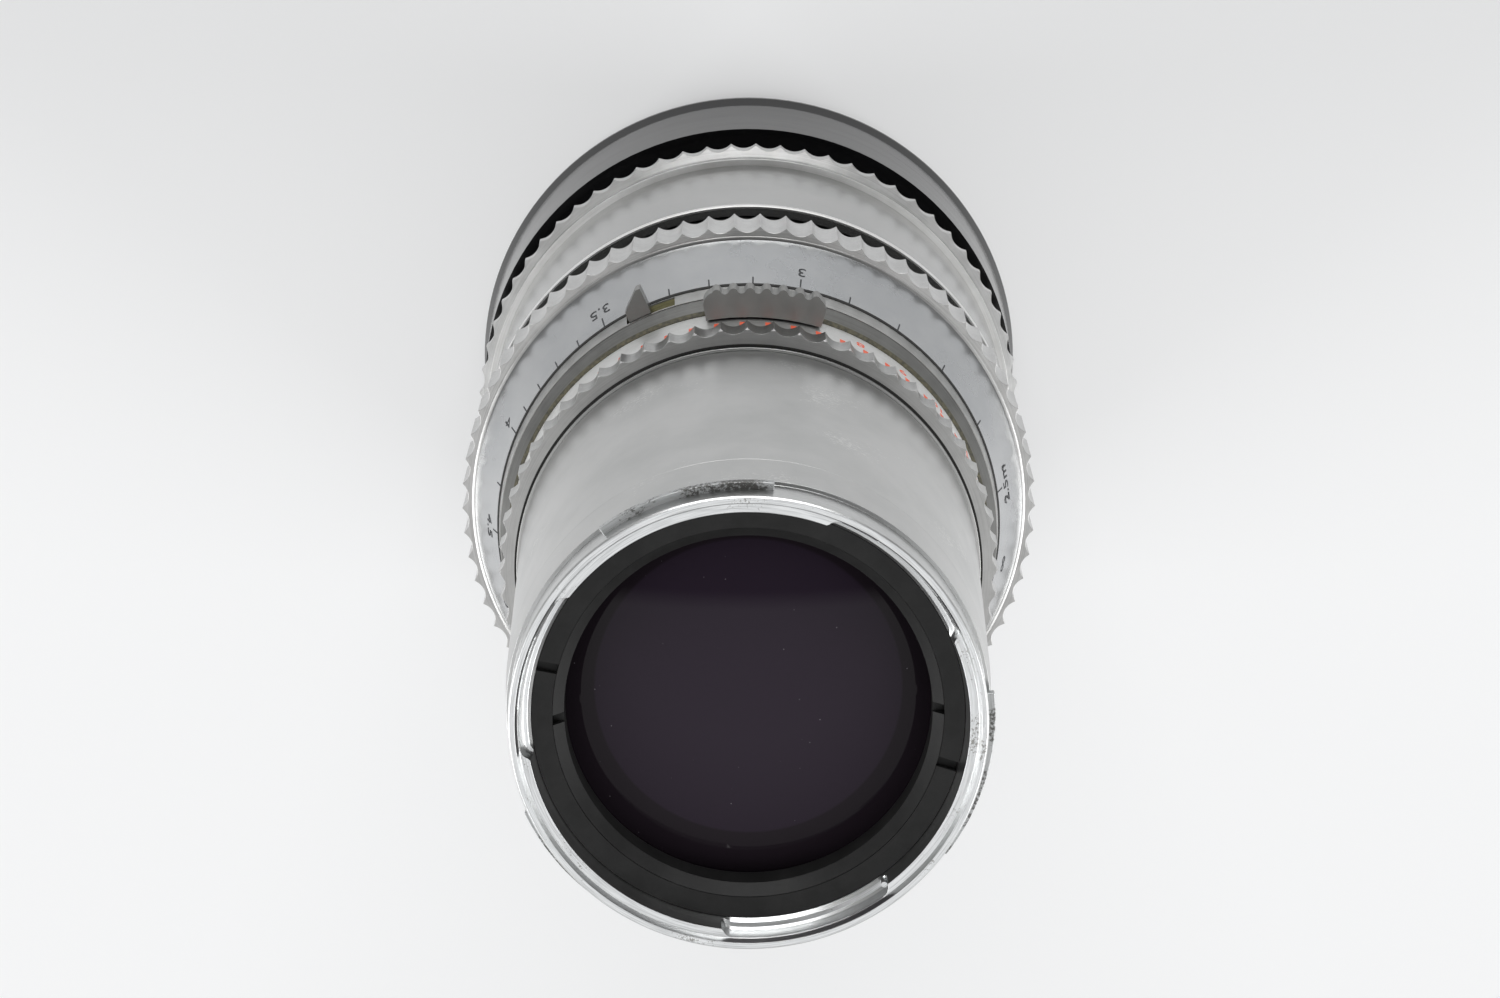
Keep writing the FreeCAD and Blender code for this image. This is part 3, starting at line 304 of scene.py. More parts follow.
# Coated optical glass: the film turns what little light comes back to a dark plum. A paler disc,
# a little off the axis, is a painted reflection of the next glass inside. A few specks of dust lie
# on it.
specksOfDust = {"apart": 1.6, "areas": 3.5, "tone": "#6E6A70"}


def makeLensGlass(name, rim, paintedReflectionTone, edge, aside, through, ior):
    material, tree = newMaterial(name)
    place = addNode(tree, "ShaderNodeTexCoord").outputs["Object"]
    parts = addNode(tree, "ShaderNodeSeparateXYZ", {"Vector": place}).outputs
    # the paler disc is a painted reflection of the next glass; its middle is moved aside from the
    # axis
    moved = addNode(tree, "ShaderNodeMath", {0: parts["Y"], 1: aside * mm}, operation="ADD")
    flat = addNode(tree, "ShaderNodeCombineXYZ", {"X": parts["X"], "Y": moved.outputs["Value"]})
    radius = addNode(tree, "ShaderNodeVectorMath", {0: flat.outputs["Vector"]}, operation="LENGTH")
    across = addNode(tree, "ShaderNodeMapRange",
                     {"Value": radius.outputs["Value"], "From Min": (edge - 0.3) * mm,
                      "From Max": edge * mm})
    filmAndPaintedReflection = mixColour(tree, across.outputs["Result"], linear(paintedReflectionTone), linear(rim))
    specks = addNode(tree, "ShaderNodeTexVoronoi",
                     {"Vector": place, "Scale": 1 / (specksOfDust["apart"] * mm),
                      "Randomness": 1.0})
    rare = addNode(tree, "ShaderNodeTexNoise",
                   {"Vector": place, "Scale": 1 / (specksOfDust["areas"] * mm), "Detail": 1.0})
    spot = addNode(tree, "ShaderNodeMapRange",
                   {"Value": specks.outputs["Distance"], "From Min": 0.03, "From Max": 0.055,
                    "To Min": 1.0, "To Max": 0.0})
    few = addNode(tree, "ShaderNodeMapRange",
                  {"Value": rare.outputs["Fac"], "From Min": 0.48, "From Max": 0.53})
    dust = addNode(tree, "ShaderNodeMath",
                   {0: spot.outputs["Result"], 1: few.outputs["Result"]}, operation="MULTIPLY")
    colour = mixColour(tree, dust.outputs["Value"], filmAndPaintedReflection, linear(specksOfDust["tone"]))
    shader = addNode(tree, "ShaderNodeBsdfPrincipled",
                     {"Base Color": colour, "Roughness": 0.03, "IOR": ior,
                      "Specular IOR Level": 0.14, "Transmission Weight": through})
    finishMaterial(tree, shader)
    return material


# Engraving paint: a matt filler that has shrunk a little, so its tone is uneven.
paintClouds = 0.5   # size of the lighter and darker places


def makePaint(name, tone, faded):
    material, tree = newMaterial(name)
    place = addNode(tree, "ShaderNodeTexCoord").outputs["Object"]
    cloud = addNode(tree, "ShaderNodeTexNoise",
                    {"Vector": place, "Scale": 1 / (paintClouds * mm), "Detail": 4.0})
    tones = addNode(tree, "ShaderNodeValToRGB", {"Fac": cloud.outputs["Fac"]})
    rampStops(tones, [(0.35, linear(tone)), (0.7, linear(faded))])
    bump = addNode(tree, "ShaderNodeBump",
                   {"Height": cloud.outputs["Fac"], "Strength": 0.2, "Distance": 0.01 * mm})
    shader = addNode(tree, "ShaderNodeBsdfPrincipled",
                     {"Base Color": tones.outputs["Color"], "Roughness": 0.6,
                      "Normal": bump.outputs["Normal"]})
    finishMaterial(tree, shader)
    return material


# Blasted chrome: the tube, the smoother barrel band and the bluish scale cone.
satinChrome = makeSatinChrome("satinChrome", "#C6C6C5", "#B8B9B8", 0.32, spread=0.2, rubbed=0.6)
bandChrome = makeSatinChrome("satinChromeBand", "#A8A8A7", "#9E9F9E", 0.18, spread=0.2, rubbed=0.2)
coneChrome = makeSatinChrome("satinChromeCone", "#BEBFC0", "#B0B2B4", 0.27, spread=0.2, rubbed=0.0)
# Turned chrome: the grips, the index ring and the speed ring's face, and a darker copy for the
# aperture ring as painted shade.
turnedChrome = makeTurnedChrome("turnedChrome", "#CACAC9", "#B0B0AF", 0.28, spread=0.6)
ringChrome = makeTurnedChrome("turnedChromeRings", "#BEBEBC", "#A8A8A6", 0.28, spread=0.5)
faceChrome = makeTurnedChrome("turnedChromeFaces", "#BEBEBD", "#AEAEAD", 0.32, spread=0.3)
shadedApertureChrome = makeTurnedChrome("turnedChromeAperture", "#7C7C7A", "#6C6C6A", 0.28, spread=0.4)
# Chrome of a plain band and of edges, made almost white as a painted highlight.
highlightBand = makeTurnedChrome("highlightPaintedChromeBand", "#F2F2F1", "#E2E2E0", 0.45, spread=0.3)
highlightEdgeChrome = makeTurnedChrome("highlightPaintedEdgeChrome", "#F0F0EF", "#E4E4E2", 0.3, spread=0.2)
# Small parts of blasted chrome, in darker copies of the satin chrome as painted shade.
shadedLeverChrome = makeSatinChrome("satinChromeLever", "#8C8C8A", "#7C7C7A", 0.3, spread=0.0,
                              rubbed=0.0)
shadedTabChrome = makeSatinChrome("satinChromeTab", "#969694", "#8A8A88", 0.4, spread=0.0, rubbed=0.0)
# Front bayonet: worn faces, brighter walls between them, and lugs rubbed down to dark metal.
wornChrome = makeWornChrome("wornBayonetChrome", "#F6F8F9", "#8A8883", 0.36, wear=0.36)
wallChrome = makeTurnedChrome("brightBayonetWalls", "#D2D3D3", "#BFC0BF", 0.3, spread=0.2,
                              rings=0.05)
lugChrome = makeWornChrome("rubbedLugChrome", "#B4B6B6", "#4A4844", 0.42, wear=0.25)
# Black parts: they swallow the light round the glass and in the gaps.
blackAnodised = makeBlackAnodised("blackAnodisedAluminium")
innerBlack = makeBlackAnodised("mattBlackPaint", "#08080A", "#121214", 0.6)
bladeSteel = makeTurnedChrome("blackenedSpringSteel", "#3A3A3C", "#2A2A2C", 0.4, spread=0.2)
# Bare metals inside the lens, and brass that old oil has made greenish.
turnedAluminium = makeTurnedChrome("turnedAluminium", "#C9CACB", "#B4B5B6", 0.28)
turnedBrass = makeTurnedChrome("turnedBrass", "#B99A55", "#8D7440", 0.3)
wornBrass = makeTurnedChrome("oiledBrass", "#C9C49A", "#8F8A62", 0.6, spread=0.0)
# Cap and glasses: gloss over black, and gloss over plum.
capPlastic = makeCapPlastic()
# the front glass: the disc of painted reflection ends at 18 mm and sits 2.15 mm aside
coatedGlass = makeLensGlass("coatedCrownGlass", "#201A20", "#2A222D", edge=18.0, aside=2.15,
                            through=0.06, ior=1.52)
innerGlass = makeLensGlass("coatedFlintGlass", "#DAD3E2", "#DAD3E2", edge=30.0, aside=0.0,
                           through=1.0, ior=1.6)
# Matt fillers and dirt: they stay dull where the metal shines.
blackPaint = makePaint("blackEngravingPaint", "#26282A", "#4A4C4E")
greaseAndGapShade = makePaint("greaseAndGapShade", "#35332A", "#5E5A45")
paintedGapShade = makePaint("shadeInGap", "#0E0E0D", "#1E1D1A")
orangePaint = makePaint("orangeEngravingPaint", "#E0512F", "#EA7354")
print("materials are ready")


def startRing(name, radius, level, segments, turn=0.0):
    deselectAll()
    bpy.ops.mesh.primitive_circle_add(vertices=segments, radius=radius * mm, fill_type="NOTHING",
                                      location=(0, 0, level * mm),
                                      rotation=(0, 0, math.radians(turn)))
    piece = bpy.context.active_object
    piece.name = name
    piece.data.name = name
    bpy.ops.object.transform_apply(location=True, rotation=True, scale=True)
    bpy.ops.object.mode_set(mode="EDIT")
    bpy.ops.mesh.select_all(action="SELECT")
    return piece


def reachTo(here, there):
    # one pull of the open edge loop to the next corner of the section
    bpy.ops.mesh.extrude_region_move(
        TRANSFORM_OT_translate={"value": (0, 0, (there[1] - here[1]) * mm)})
    share = there[0] / here[0]
    bpy.ops.transform.resize(value=(share, share, 1), center_override=(0, 0, 0))


def closeShell(piece, bevel):
    bpy.ops.mesh.select_all(action="SELECT")
    bpy.ops.mesh.remove_doubles(threshold=weldGap * mm)
    bpy.ops.mesh.normals_make_consistent(inside=False)
    bpy.ops.object.mode_set(mode="OBJECT")
    roundEdges(piece, bevel)


def roundEdges(piece, bevel):
    pick(piece)
    bpy.ops.object.shade_smooth()
    if bevel:
        bpy.ops.object.modifier_add(type="BEVEL")
        edge = piece.modifiers[-1]
        edge.width = bevel * mm
        edge.segments = 2
        edge.limit_method = "ANGLE"
        edge.angle_limit = math.radians(sharpAngle)
        edge.harden_normals = True
        bpy.ops.object.modifier_apply(modifier=edge.name)
    else:
        bpy.ops.object.shade_smooth_by_angle(angle=math.radians(sharpAngle))


def latheTurned(name, section, bevel=0.06):
    # section: corners (radius, height) once round the cut, in millimetres
    piece = startRing(name, *section[0], turnSteps)
    here = section[0]
    for there in section[1:] + section[:1]:
        reachTo(here, there)
        here = there
    closeShell(piece, bevel)
    return piece


def pressLoop(piece, pattern, corner, shares):
    # resize each of the repeated places of the selected loop to the pattern's own radius; a
    # third number in a corner says how steeply the places that go in also go up
    count, steps = pattern["count"], pattern["steps"]
    pitch = 360 / count
    radius, level = corner[:2]
    rise = corner[2] if len(corner) > 2 else 0.0
    mesh = bmesh.from_edit_mesh(piece.data)
    loop = [v for v in mesh.verts if v.select]
    groups = {}
    for v in loop:
        offset = (math.degrees(math.atan2(v.co.y, v.co.x)) - pattern["phase"]) / pitch % 1
        groups.setdefault(round(offset * steps) % steps, []).append(v)
    wanted = []
    for number in range(steps):
        offset = number / steps if number <= steps / 2 else number / steps - 1
        wanted.append(pattern["radiusAt"](radius, level, offset * pitch) / radius)
        share = wanted[number] / shares[number]
        lift = (1 - wanted[number]) * radius * rise
        if abs(share - 1) < 1e-6 and not lift:
            continue
        for v in loop:
            v.select = False
        for v in groups[number]:
            v.select = True
        mesh.select_flush_mode()
        bpy.ops.transform.resize(value=(share, share, 1), center_override=(0, 0, 0))
        if lift:
            bpy.ops.transform.translate(value=(0, 0, lift * mm))
    for v in loop:
        v.select = True
    mesh.select_mode = {"VERT", "EDGE"}
    mesh.select_flush(True)
    return wanted


def levelLoop(piece, level):
    # bring a loop that was lifted in places back to one height
    mesh = bmesh.from_edit_mesh(piece.data)
    for v in mesh.verts:
        if v.select:
            v.co.z = level * mm
    bmesh.update_edit_mesh(piece.data)


def patternedRing(name, corners, pattern, bevel=0.06):
    # corners once round the section; the pattern gives the radius at each place round the ring
    plain = [1.0] * pattern["steps"]
    piece = startRing(name, *corners[0][:2], pattern["count"] * pattern["steps"], pattern["phase"])
    shares = pressLoop(piece, pattern, corners[0], plain)
    here = corners[0]
    for corner in corners[1:] + corners[:1]:
        reachTo(here, corner)
        if len(here) > 2:
            levelLoop(piece, corner[1])
        shares = pressLoop(piece, pattern, corner, shares)
        here = corner
    closeShell(piece, bevel)
    return piece


def scallops(grip):
    # the wall that a round cutter leaves, seen along the axis
    centre = grip["cusp"] - grip["depth"] + grip["cutter"]

    def radiusAt(radius, level, offset):
        aside = centre * math.sin(math.radians(offset))
        if abs(aside) >= grip["cutter"] or radius < grip["cusp"] - grip["depth"]:
            return radius
        cut = math.sqrt(grip["cutter"] ** 2 - aside ** 2)
        return min(radius, centre * math.cos(math.radians(offset)) - cut)

    return {"count": grip["count"], "steps": grip["steps"], "phase": grip["phase"],
            "radiusAt": radiusAt}


def dress(piece, material, body, slot, *nodes):
    piece.data.materials.clear()
    piece.data.materials.append(material)
    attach(piece, body)
    if nodes:
        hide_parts(*nodes)
    return piece


def finishFaces(piece, materials, choose):
    # several finishes on one piece, chosen by a face's height and by whether it looks forward
    piece.data.materials.clear()
    for material in materials:
        piece.data.materials.append(material)
    for face in piece.data.polygons:
        face.material_index = choose(face.center.z / mm, face.normal.z > forwardFacing)


def sectorPiece(name, section, startAngle, span, steps, bevel):
    # a section of four corners swept part of a turn round the axis, with closed ends
    deselectAll()
    bpy.ops.mesh.primitive_plane_add(size=2 * mm, location=(0, 0, 0))
    piece = bpy.context.active_object
    piece.name = name
    piece.data.name = name
    turn = Matrix.Rotation(math.radians(startAngle), 4, "Z")
    order = piece.data.polygons[0].vertices
    for index, (radius, level) in zip(order, section):
        piece.data.vertices[index].co = turn @ Vector((radius * mm, 0, level * mm))
    bpy.ops.object.mode_set(mode="EDIT")
    bpy.ops.mesh.select_all(action="SELECT")
    bpy.ops.mesh.spin(steps=steps, angle=-math.radians(span), center=(0, 0, 0), axis=(0, 0, 1))
    closeShell(piece, bevel)
    return piece


def copyTurned(piece, name, angle):
    # a copy with a mesh of its own, turned about the axis
    made = piece.copy()
    made.data = piece.data.copy()
    made.name = name
    made.data.name = name
    bpy.context.scene.collection.objects.link(made)
    made.data.transform(Matrix.Rotation(math.radians(angle), 4, "Z"))
    return made


def surfacePlace(radius, level, angle, slope=0.0):
    # on a turned surface: right, up (to the front) and out as the mark's own axes
    turn, lean = math.radians(angle), math.radians(slope)
    out = Vector((math.cos(turn) * math.cos(lean), math.sin(turn) * math.cos(lean),
                  math.sin(lean)))
    up = Vector((-math.cos(turn) * math.sin(lean), -math.sin(turn) * math.sin(lean),
                 math.cos(lean)))
    right = up.cross(out)
    place = Matrix((right, up, out)).transposed().to_4x4()
    place.translation = Vector((radius * math.cos(turn), radius * math.sin(turn), level)) * mm
    return place


def addWord(word, height, thickness, place):
    deselectAll()
    bpy.ops.object.text_add(location=(0, 0, 0))
    made = bpy.context.active_object
    made.data.body = word
    made.data.align_x = "CENTER"
    made.data.align_y = "CENTER"
    made.data.size = height / 0.7 * mm   # a figure is 0.7 of the font's size
    made.data.extrude = thickness / 2 * mm
    made.data.resolution_u = 4
    bpy.ops.object.convert(target="MESH")
    made = bpy.context.active_object
    made.data.transform(place)
    return made


def addStroke(width, length, thickness, place):
    deselectAll()
    bpy.ops.mesh.primitive_cube_add(size=1, location=(0, 0, 0),
                                    scale=(width * mm, length * mm, thickness * mm))
    made = bpy.context.active_object
    bpy.ops.object.transform_apply(location=True, rotation=True, scale=True)
    made.data.transform(place)
    return made


def joinMarks(name, marks):
    deselectAll()
    for mark in marks:
        mark.select_set(True)
    bpy.context.view_layer.objects.active = marks[0]
    bpy.ops.object.join()
    piece = bpy.context.active_object
    bpy.ops.object.mode_set(mode="EDIT")
    bpy.ops.mesh.select_all(action="SELECT")
    bpy.ops.mesh.remove_doubles(threshold=weldGap / 2 * mm)
    bpy.ops.mesh.normals_make_consistent(inside=False)
    bpy.ops.object.mode_set(mode="OBJECT")
    piece.name = name
    piece.data.name = name
    return piece


# Front tube: a long, slightly conical tube with a lip and a groove at its rear end.
tube = {
    "lip": 30.1, "groove": 29.4, "rear": 29.75, "front": 28.45, "bore": 25.0,
    "lipLength": 0.5, "grooveLength": 0.3,
}
tubeLow, tubeHigh = (corner.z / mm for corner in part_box("front_tube"))
lipTop = tubeLow + tube["lipLength"]
frontTube = latheTurned("frontTube", [
    (tube["bore"], tubeLow), (tube["lip"], tubeLow), (tube["lip"], lipTop),
    (tube["groove"], lipTop), (tube["groove"], lipTop + tube["grooveLength"]),
    (tube["rear"], lipTop + tube["grooveLength"]), (tube["front"], tubeHigh),
    (tube["bore"], tubeHigh)])
dress(frontTube, satinChrome, "carriage", "satin_chrome", "front_tube")
print("front tube")


# Front bayonet ring: a bare band, three lugs outside, and three tongues inside that are parted
# by milled slots with a rounded foot and round ends.
bayonet = {
    "rim": 27.5, "rimFace": 0.82, "chamfer": 0.2, "bevelWidth": 0.28, "band": 27.95,
    "bore": 25.0, "flare": 0.4, "depth": 3.6, "tongueDrop": 0.8, "slot": 26.3, "slotCutter": 1.3,
    "slotLip": 0.5, "slotRounding": 0.9, "slotMiddle": 106.3, "slotHalf": 23.3, "slack": 0.01,
    "lug": 28.4, "lugRoot": 0.3, "lugStart": 24.0, "lugSpan": 42.5, "lugTop": 2.7,
    "lugThick": 1.1, "lugSteps": 60, "lugBevel": 0.12, "grooveWidth": 1.2, "inTheBore": 0.001,
}
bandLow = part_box("front_bayonet_ring")[0].z / mm
rimInner = bayonet["rim"] - bayonet["rimFace"]
tongueTop = behindRim(bayonet["tongueDrop"])
ringFloor = behindRim(bayonet["depth"])
slotFloor = ringFloor + bayonet["slotLip"]
lugTop = behindRim(bayonet["lugTop"])
lugLow = lugTop - bayonet["lugThick"]
grooveLow = lugLow - bayonet["grooveWidth"]
ringBore = bayonet["bore"] - bayonet["inTheBore"]   # inside the tongues, so no slot is cut here


def tongueWall(level):
    share = (level - ringFloor) / (tongueTop - ringFloor)
    return bayonet["bore"] + bayonet["flare"] * share


def slotRadiusAt(radius, level, offset):
    slack = bayonet["slack"]
    if radius > tongueWall(level) + slack or level < slotFloor - slack or radius < bayonet["bore"]:
        return radius
    endTurn = math.degrees(math.asin(bayonet["slotCutter"] / bayonet["bore"]))
    past = abs(offset) - (bayonet["slotHalf"] - endTurn)
    if past >= endTurn:
        return radius
    wall = bayonet["slot"]
    if past > 0:
        turn = math.radians(past)
        wall = bayonet["bore"] * math.cos(turn) + math.sqrt(
            bayonet["slotCutter"] ** 2 - (bayonet["bore"] * math.sin(turn)) ** 2)
    rounding = bayonet["slotRounding"]
    if level < slotFloor + rounding:
        drop = slotFloor + rounding - level
        wall -= rounding - math.sqrt(max(rounding ** 2 - drop ** 2, 0))
    return max(radius, wall)


slotPattern = {"count": 3, "steps": 240, "phase": bayonet["slotMiddle"], "radiusAt": slotRadiusAt}
wallRises = [1.5, bayonet["slotRounding"], 0.45, 0.15, 0.0]   # closer where the foot is round
wallLevels = [tongueTop] + [slotFloor + rise for rise in wallRises]
ringCorners = [
    (ringBore, bandLow), (tube["front"], bandLow), (bayonet["band"], grooveLow),
    (bayonet["rim"], grooveLow), (bayonet["rim"], rimTop - bayonet["chamfer"]),
    (bayonet["rim"] - bayonet["chamfer"], rimTop), (rimInner, rimTop),
    (rimInner - bayonet["bevelWidth"], tongueTop)]
ringCorners += [(tongueWall(level), level) for level in wallLevels]
ringCorners += [(ringBore, ringFloor)]
bayonetRing = patternedRing("bayonetRing", ringCorners, slotPattern, bevel=0.05)
dress(bayonetRing, wornChrome, "carriage", "bright_chrome", "front_bayonet_ring")


def bayonetFinish(level, forward):
    # the band behind the groove, the worn faces of the rim and the tongues, and the walls
    if level < grooveLow - 0.05:
        return 0
    return 1 if forward and level > ringFloor + 0.3 else 2


finishFaces(bayonetRing, (satinChrome, wornChrome, wallChrome), bayonetFinish)
lugInner = bayonet["rim"] - bayonet["lugRoot"]
lugSection = [(lugInner, lugLow), (bayonet["lug"], lugLow), (bayonet["lug"], lugTop),
              (lugInner, lugTop)]
lug = sectorPiece("hoodLug1", lugSection, bayonet["lugStart"], bayonet["lugSpan"],
                  bayonet["lugSteps"], bayonet["lugBevel"])
for piece in (lug, copyTurned(lug, "hoodLug2", 120), copyTurned(lug, "hoodLug3", 240)):
    dress(piece, lugChrome, "carriage", "bright_chrome")
print("front bayonet")


# Heights of the solids that the trim and the scales are placed from.
speedLow, speedHigh = (corner.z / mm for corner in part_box("speed_ring"))
coneLow, coneHigh = (corner.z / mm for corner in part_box("scale_cone_ring"))
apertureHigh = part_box("aperture_ring")[1].z / mm
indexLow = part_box("index_ring")[0].z / mm
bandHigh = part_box("barrel_band")[1].z / mm

# Floor of the preview lever's slot: bare brass, where the chrome has worn off.
leverSlot = {"inner": 31.62, "outer": 33.45, "lip": 0.3, "thick": 0.06, "start": -73.0,
             "span": 11.6, "steps": 12}
plateLow = indexLow + leverSlot["lip"]
plateHigh = plateLow + leverSlot["thick"]
slotPlate = sectorPiece("leverSlotFloor", [
    (leverSlot["inner"], plateLow), (leverSlot["outer"], plateLow),
    (leverSlot["outer"], plateHigh), (leverSlot["inner"], plateHigh)],
    leverSlot["start"], leverSlot["span"], leverSlot["steps"], 0)
dress(slotPlate, wornBrass, "carriage", "brass")


# Thin trim between the rings: old grease in front of the aperture ring, darkened as painted shade
# of the gap, near-black painted shade in two gaps, and two edges that catch the light, one of them
# in near-white chrome as a painted highlight. Each corner is a radius and a height from the named
# level.
trim = {
    # old grease in front of the aperture ring, darkened further as painted shade of the gap
    "dustLine": ("aperture", greaseAndGapShade, "black_paint", apertureHigh,
                 [(31.58, 0.03), (31.68, 0.03), (32.1, -0.6), (32.0, -0.6)]),
    # these two gaps are near-black rings of painted shade
    "coneGap": ("focus", paintedGapShade, "black_paint", coneHigh,
                [(33.62, 0.03), (33.74, 0.03), (33.93, -0.4), (33.8, -0.4)]),
    "tubeGap": ("speed", paintedGapShade, "black_paint", speedHigh,
                [(30.0, -0.08), (30.4, -0.08), (30.4, 0.03), (30.0, 0.03)]),
    # the band's edge ring is near-white chrome as a painted highlight
    "bandEdge": ("barrel", highlightEdgeChrome, "bright_chrome", bandHigh,
                 [(37.95, -0.1), (38.0, 0.02), (38.24, 0.02), (38.38, -0.16), (38.38, -1.1),
                  (38.2, -1.1)]),
    "coneFoot": ("focus", turnedChrome, "bright_chrome", coneLow,
                 [(37.5, -0.05), (38.1, -0.05), (38.02, 0.06), (37.6, 0.24), (37.5, 0.24)]),
}
for name, (body, material, slot, level, corners) in trim.items():
    section = [(radius, level + rise) for radius, rise in corners]
    dress(latheTurned(name, section, bevel=0), material, body, slot)
print("trim")


# Speed ring: a plain band with a scalloped grip in front of it.
speedGrip = {"count": 60, "cusp": 32.5, "depth": 0.8, "cutter": 2.2, "phase": -86.7,
             "steps": 12}
speedRing = {"band": 31.65, "bore": 29.9, "grip": 4.3, "chamfer": 0.25}
speedFlutes = speedHigh - speedRing["grip"]
speedPiece = patternedRing("speedRing", [
    (speedRing["bore"], speedLow), (speedRing["band"], speedLow), (speedRing["band"], speedFlutes),
    (speedGrip["cusp"], speedFlutes), (speedGrip["cusp"], speedHigh - speedRing["chamfer"]),
    (speedGrip["cusp"] - speedRing["chamfer"], speedHigh), (speedRing["bore"], speedHigh)],
    scallops(speedGrip), bevel=0.05)
dress(speedPiece, turnedChrome, "speed", "satin_chrome", "speed_ring")


def speedFinish(level, forward):
    # the front face, the plain band with its painted highlight, and the scallops
    if forward and level > speedHigh - 0.1:
        return 0
    return 1 if level < speedFlutes + 0.1 else 2


finishFaces(speedPiece, (faceChrome, highlightBand, turnedChrome), speedFinish)


# Grip rings: scalloped from face to face.
frontGrip = {"count": 70, "cusp": 39.45, "depth": 0.85, "cutter": 2.25, "phase": -89.73,
             "steps": 12, "bore": 36.67}
gripLow, gripHigh = (corner.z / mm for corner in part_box("focus_grip_ring"))
gripPiece = patternedRing("focusGrip", [
    (frontGrip["bore"], gripLow), (frontGrip["cusp"], gripLow), (frontGrip["cusp"], gripHigh),
    (frontGrip["bore"], gripHigh)], scallops(frontGrip))
dress(gripPiece, turnedChrome, "focus", "satin_chrome", "focus_grip_ring")

rearGrip = {"count": 70, "cusp": 40.8, "depth": 0.7, "cutter": 2.75, "phase": -88.93,
            "steps": 12, "bore": 37.92, "collar": 39.3, "collarLength": 1.4, "rise": 1.6}
rearLow, rearHigh = (corner.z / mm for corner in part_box("rear_grip_ring"))
rearFlutes = rearHigh - rearGrip["collarLength"] - rearGrip["rise"]
rearSlope = rearGrip["rise"] / (rearGrip["cusp"] - rearGrip["collar"])
rearPiece = patternedRing("rearGrip", [
    (rearGrip["bore"], rearLow), (rearGrip["cusp"], rearLow),
    (rearGrip["cusp"], rearFlutes, rearSlope),
    (rearGrip["collar"], rearHigh - rearGrip["collarLength"]), (rearGrip["collar"], rearHigh),
    (rearGrip["bore"], rearHigh)], scallops(rearGrip))
dress(rearPiece, turnedChrome, "barrel", "satin_chrome", "rear_grip_ring")
# the collar's front face takes the near-white painted highlight
finishFaces(rearPiece, (turnedChrome, highlightBand),
            lambda level, forward: 1 if forward and level > rearHigh - 0.2 else 0)
print("grips")


# Distance scale: ticks at the front edge of the cone and figures behind them, cut and filled
# with dark paint. The angle of a mark follows from how far the lens runs out at its distance.
scale = {
    "focal": 250.0, "farthest": 1000000, "start": -91.2, "startRun": 15.69,
    "perMillimetre": 10.75, "frontRadius": 33.7, "rearRadius": 37.7, "tickWidth": 0.2,
    "longTick": 2.3, "shortTick": 1.7, "edge": 0.35, "figure": 1.9, "figureBehind": 4.4,
    "proud": 0.03,
}
coneWidening = scale["rearRadius"] - scale["frontRadius"]
coneSlope = math.degrees(math.atan(coneWidening / (coneHigh - coneLow)))


def markAngle(distance):
    # distance in metres; the angle runs round from the top of the picture, and its second term
    # is how far the lens has run out for that distance
    reach = distance * 1000
    focal = scale["focal"]
    image = (reach - math.sqrt(reach ** 2 - 4 * reach * focal)) / 2
    around = scale["start"] + (image - focal - scale["startRun"]) * scale["perMillimetre"]
    return -90 - around


def onCone(behind, angle):
    lean = math.radians(coneSlope)
    return surfacePlace(scale["frontRadius"] + behind * math.sin(lean),
                        coneHigh - behind * math.cos(lean), angle, coneSlope)


figures = {2.5: "2.5m", 3: "3", 3.5: "3.5", 4: "4", 4.5: "4.5", 5: "5", 6: "6", 7: "7", 10: "10",
           15: "15", 20: "20", 30: "30"}
minors = [2.6, 2.7, 2.8, 2.9, 3.1, 3.2, 3.3, 3.4, 3.6, 3.7, 3.8, 3.9, 4.25, 5.5, 8, 12]
marks = []
for distance in list(figures) + minors:
    length = scale["longTick"] if distance in figures else scale["shortTick"]
    marks.append(addStroke(scale["tickWidth"], length, scale["proud"],
                           onCone(scale["edge"] + length / 2, markAngle(distance))))
for distance, word in figures.items():
    marks.append(addWord(word, scale["figure"], scale["proud"],
                         onCone(scale["figureBehind"], markAngle(distance))))
marks.append(addWord("\u221e", scale["figure"], scale["proud"],
                     onCone(scale["figureBehind"], markAngle(scale["farthest"]))))
distanceScale = joinMarks("distanceScale", marks)
dress(distanceScale, blackPaint, "focus", "black_paint")


# Speed ring's own marks: orange strokes behind the scallops, which show through them, and
# figures round the plain band.
speedMarks = {
    "width": 0.75, "length": 2.3, "behind": 0.1, "turn": 1.9, "proud": 0.04,
    "figure": 1.9, "figureBehind": 4.3,
    "orange": ["8", "9", "10", "11"], "firstOrange": -117.4, "orangeTurn": -12.0,
    "speeds": ["1", "2", "4", "8", "15", "30", "60", "125", "250", "500"],
    "firstSpeed": 66.0, "speedTurn": 14.0,
}


def bandFigure(word, angle):
    level = speedFlutes - speedMarks["figureBehind"]
    return addWord(word, speedMarks["figure"], speedMarks["proud"],
                   surfacePlace(speedRing["band"], level, angle))


marks = []
for number in range(speedGrip["count"]):
    angle = speedGrip["phase"] + 360 / speedGrip["count"] * number - speedMarks["turn"]
    level = speedFlutes - speedMarks["behind"] - speedMarks["length"] / 2
    marks.append(addStroke(speedMarks["width"], speedMarks["length"], speedMarks["proud"],
                           surfacePlace(speedRing["band"], level, angle)))
for number, word in enumerate(speedMarks["orange"]):
    marks.append(bandFigure(word, speedMarks["firstOrange"] + speedMarks["orangeTurn"] * number))
orangeMarks = joinMarks("orangeMarks", marks)
dress(orangeMarks, orangePaint, "speed", "black_paint")
marks = [bandFigure(word, speedMarks["firstSpeed"] + speedMarks["speedTurn"] * number)
         for number, word in enumerate(speedMarks["speeds"])]
speedFigures = joinMarks("speedFigures", marks)
dress(speedFigures, blackPaint, "speed", "black_paint")
print("scales")


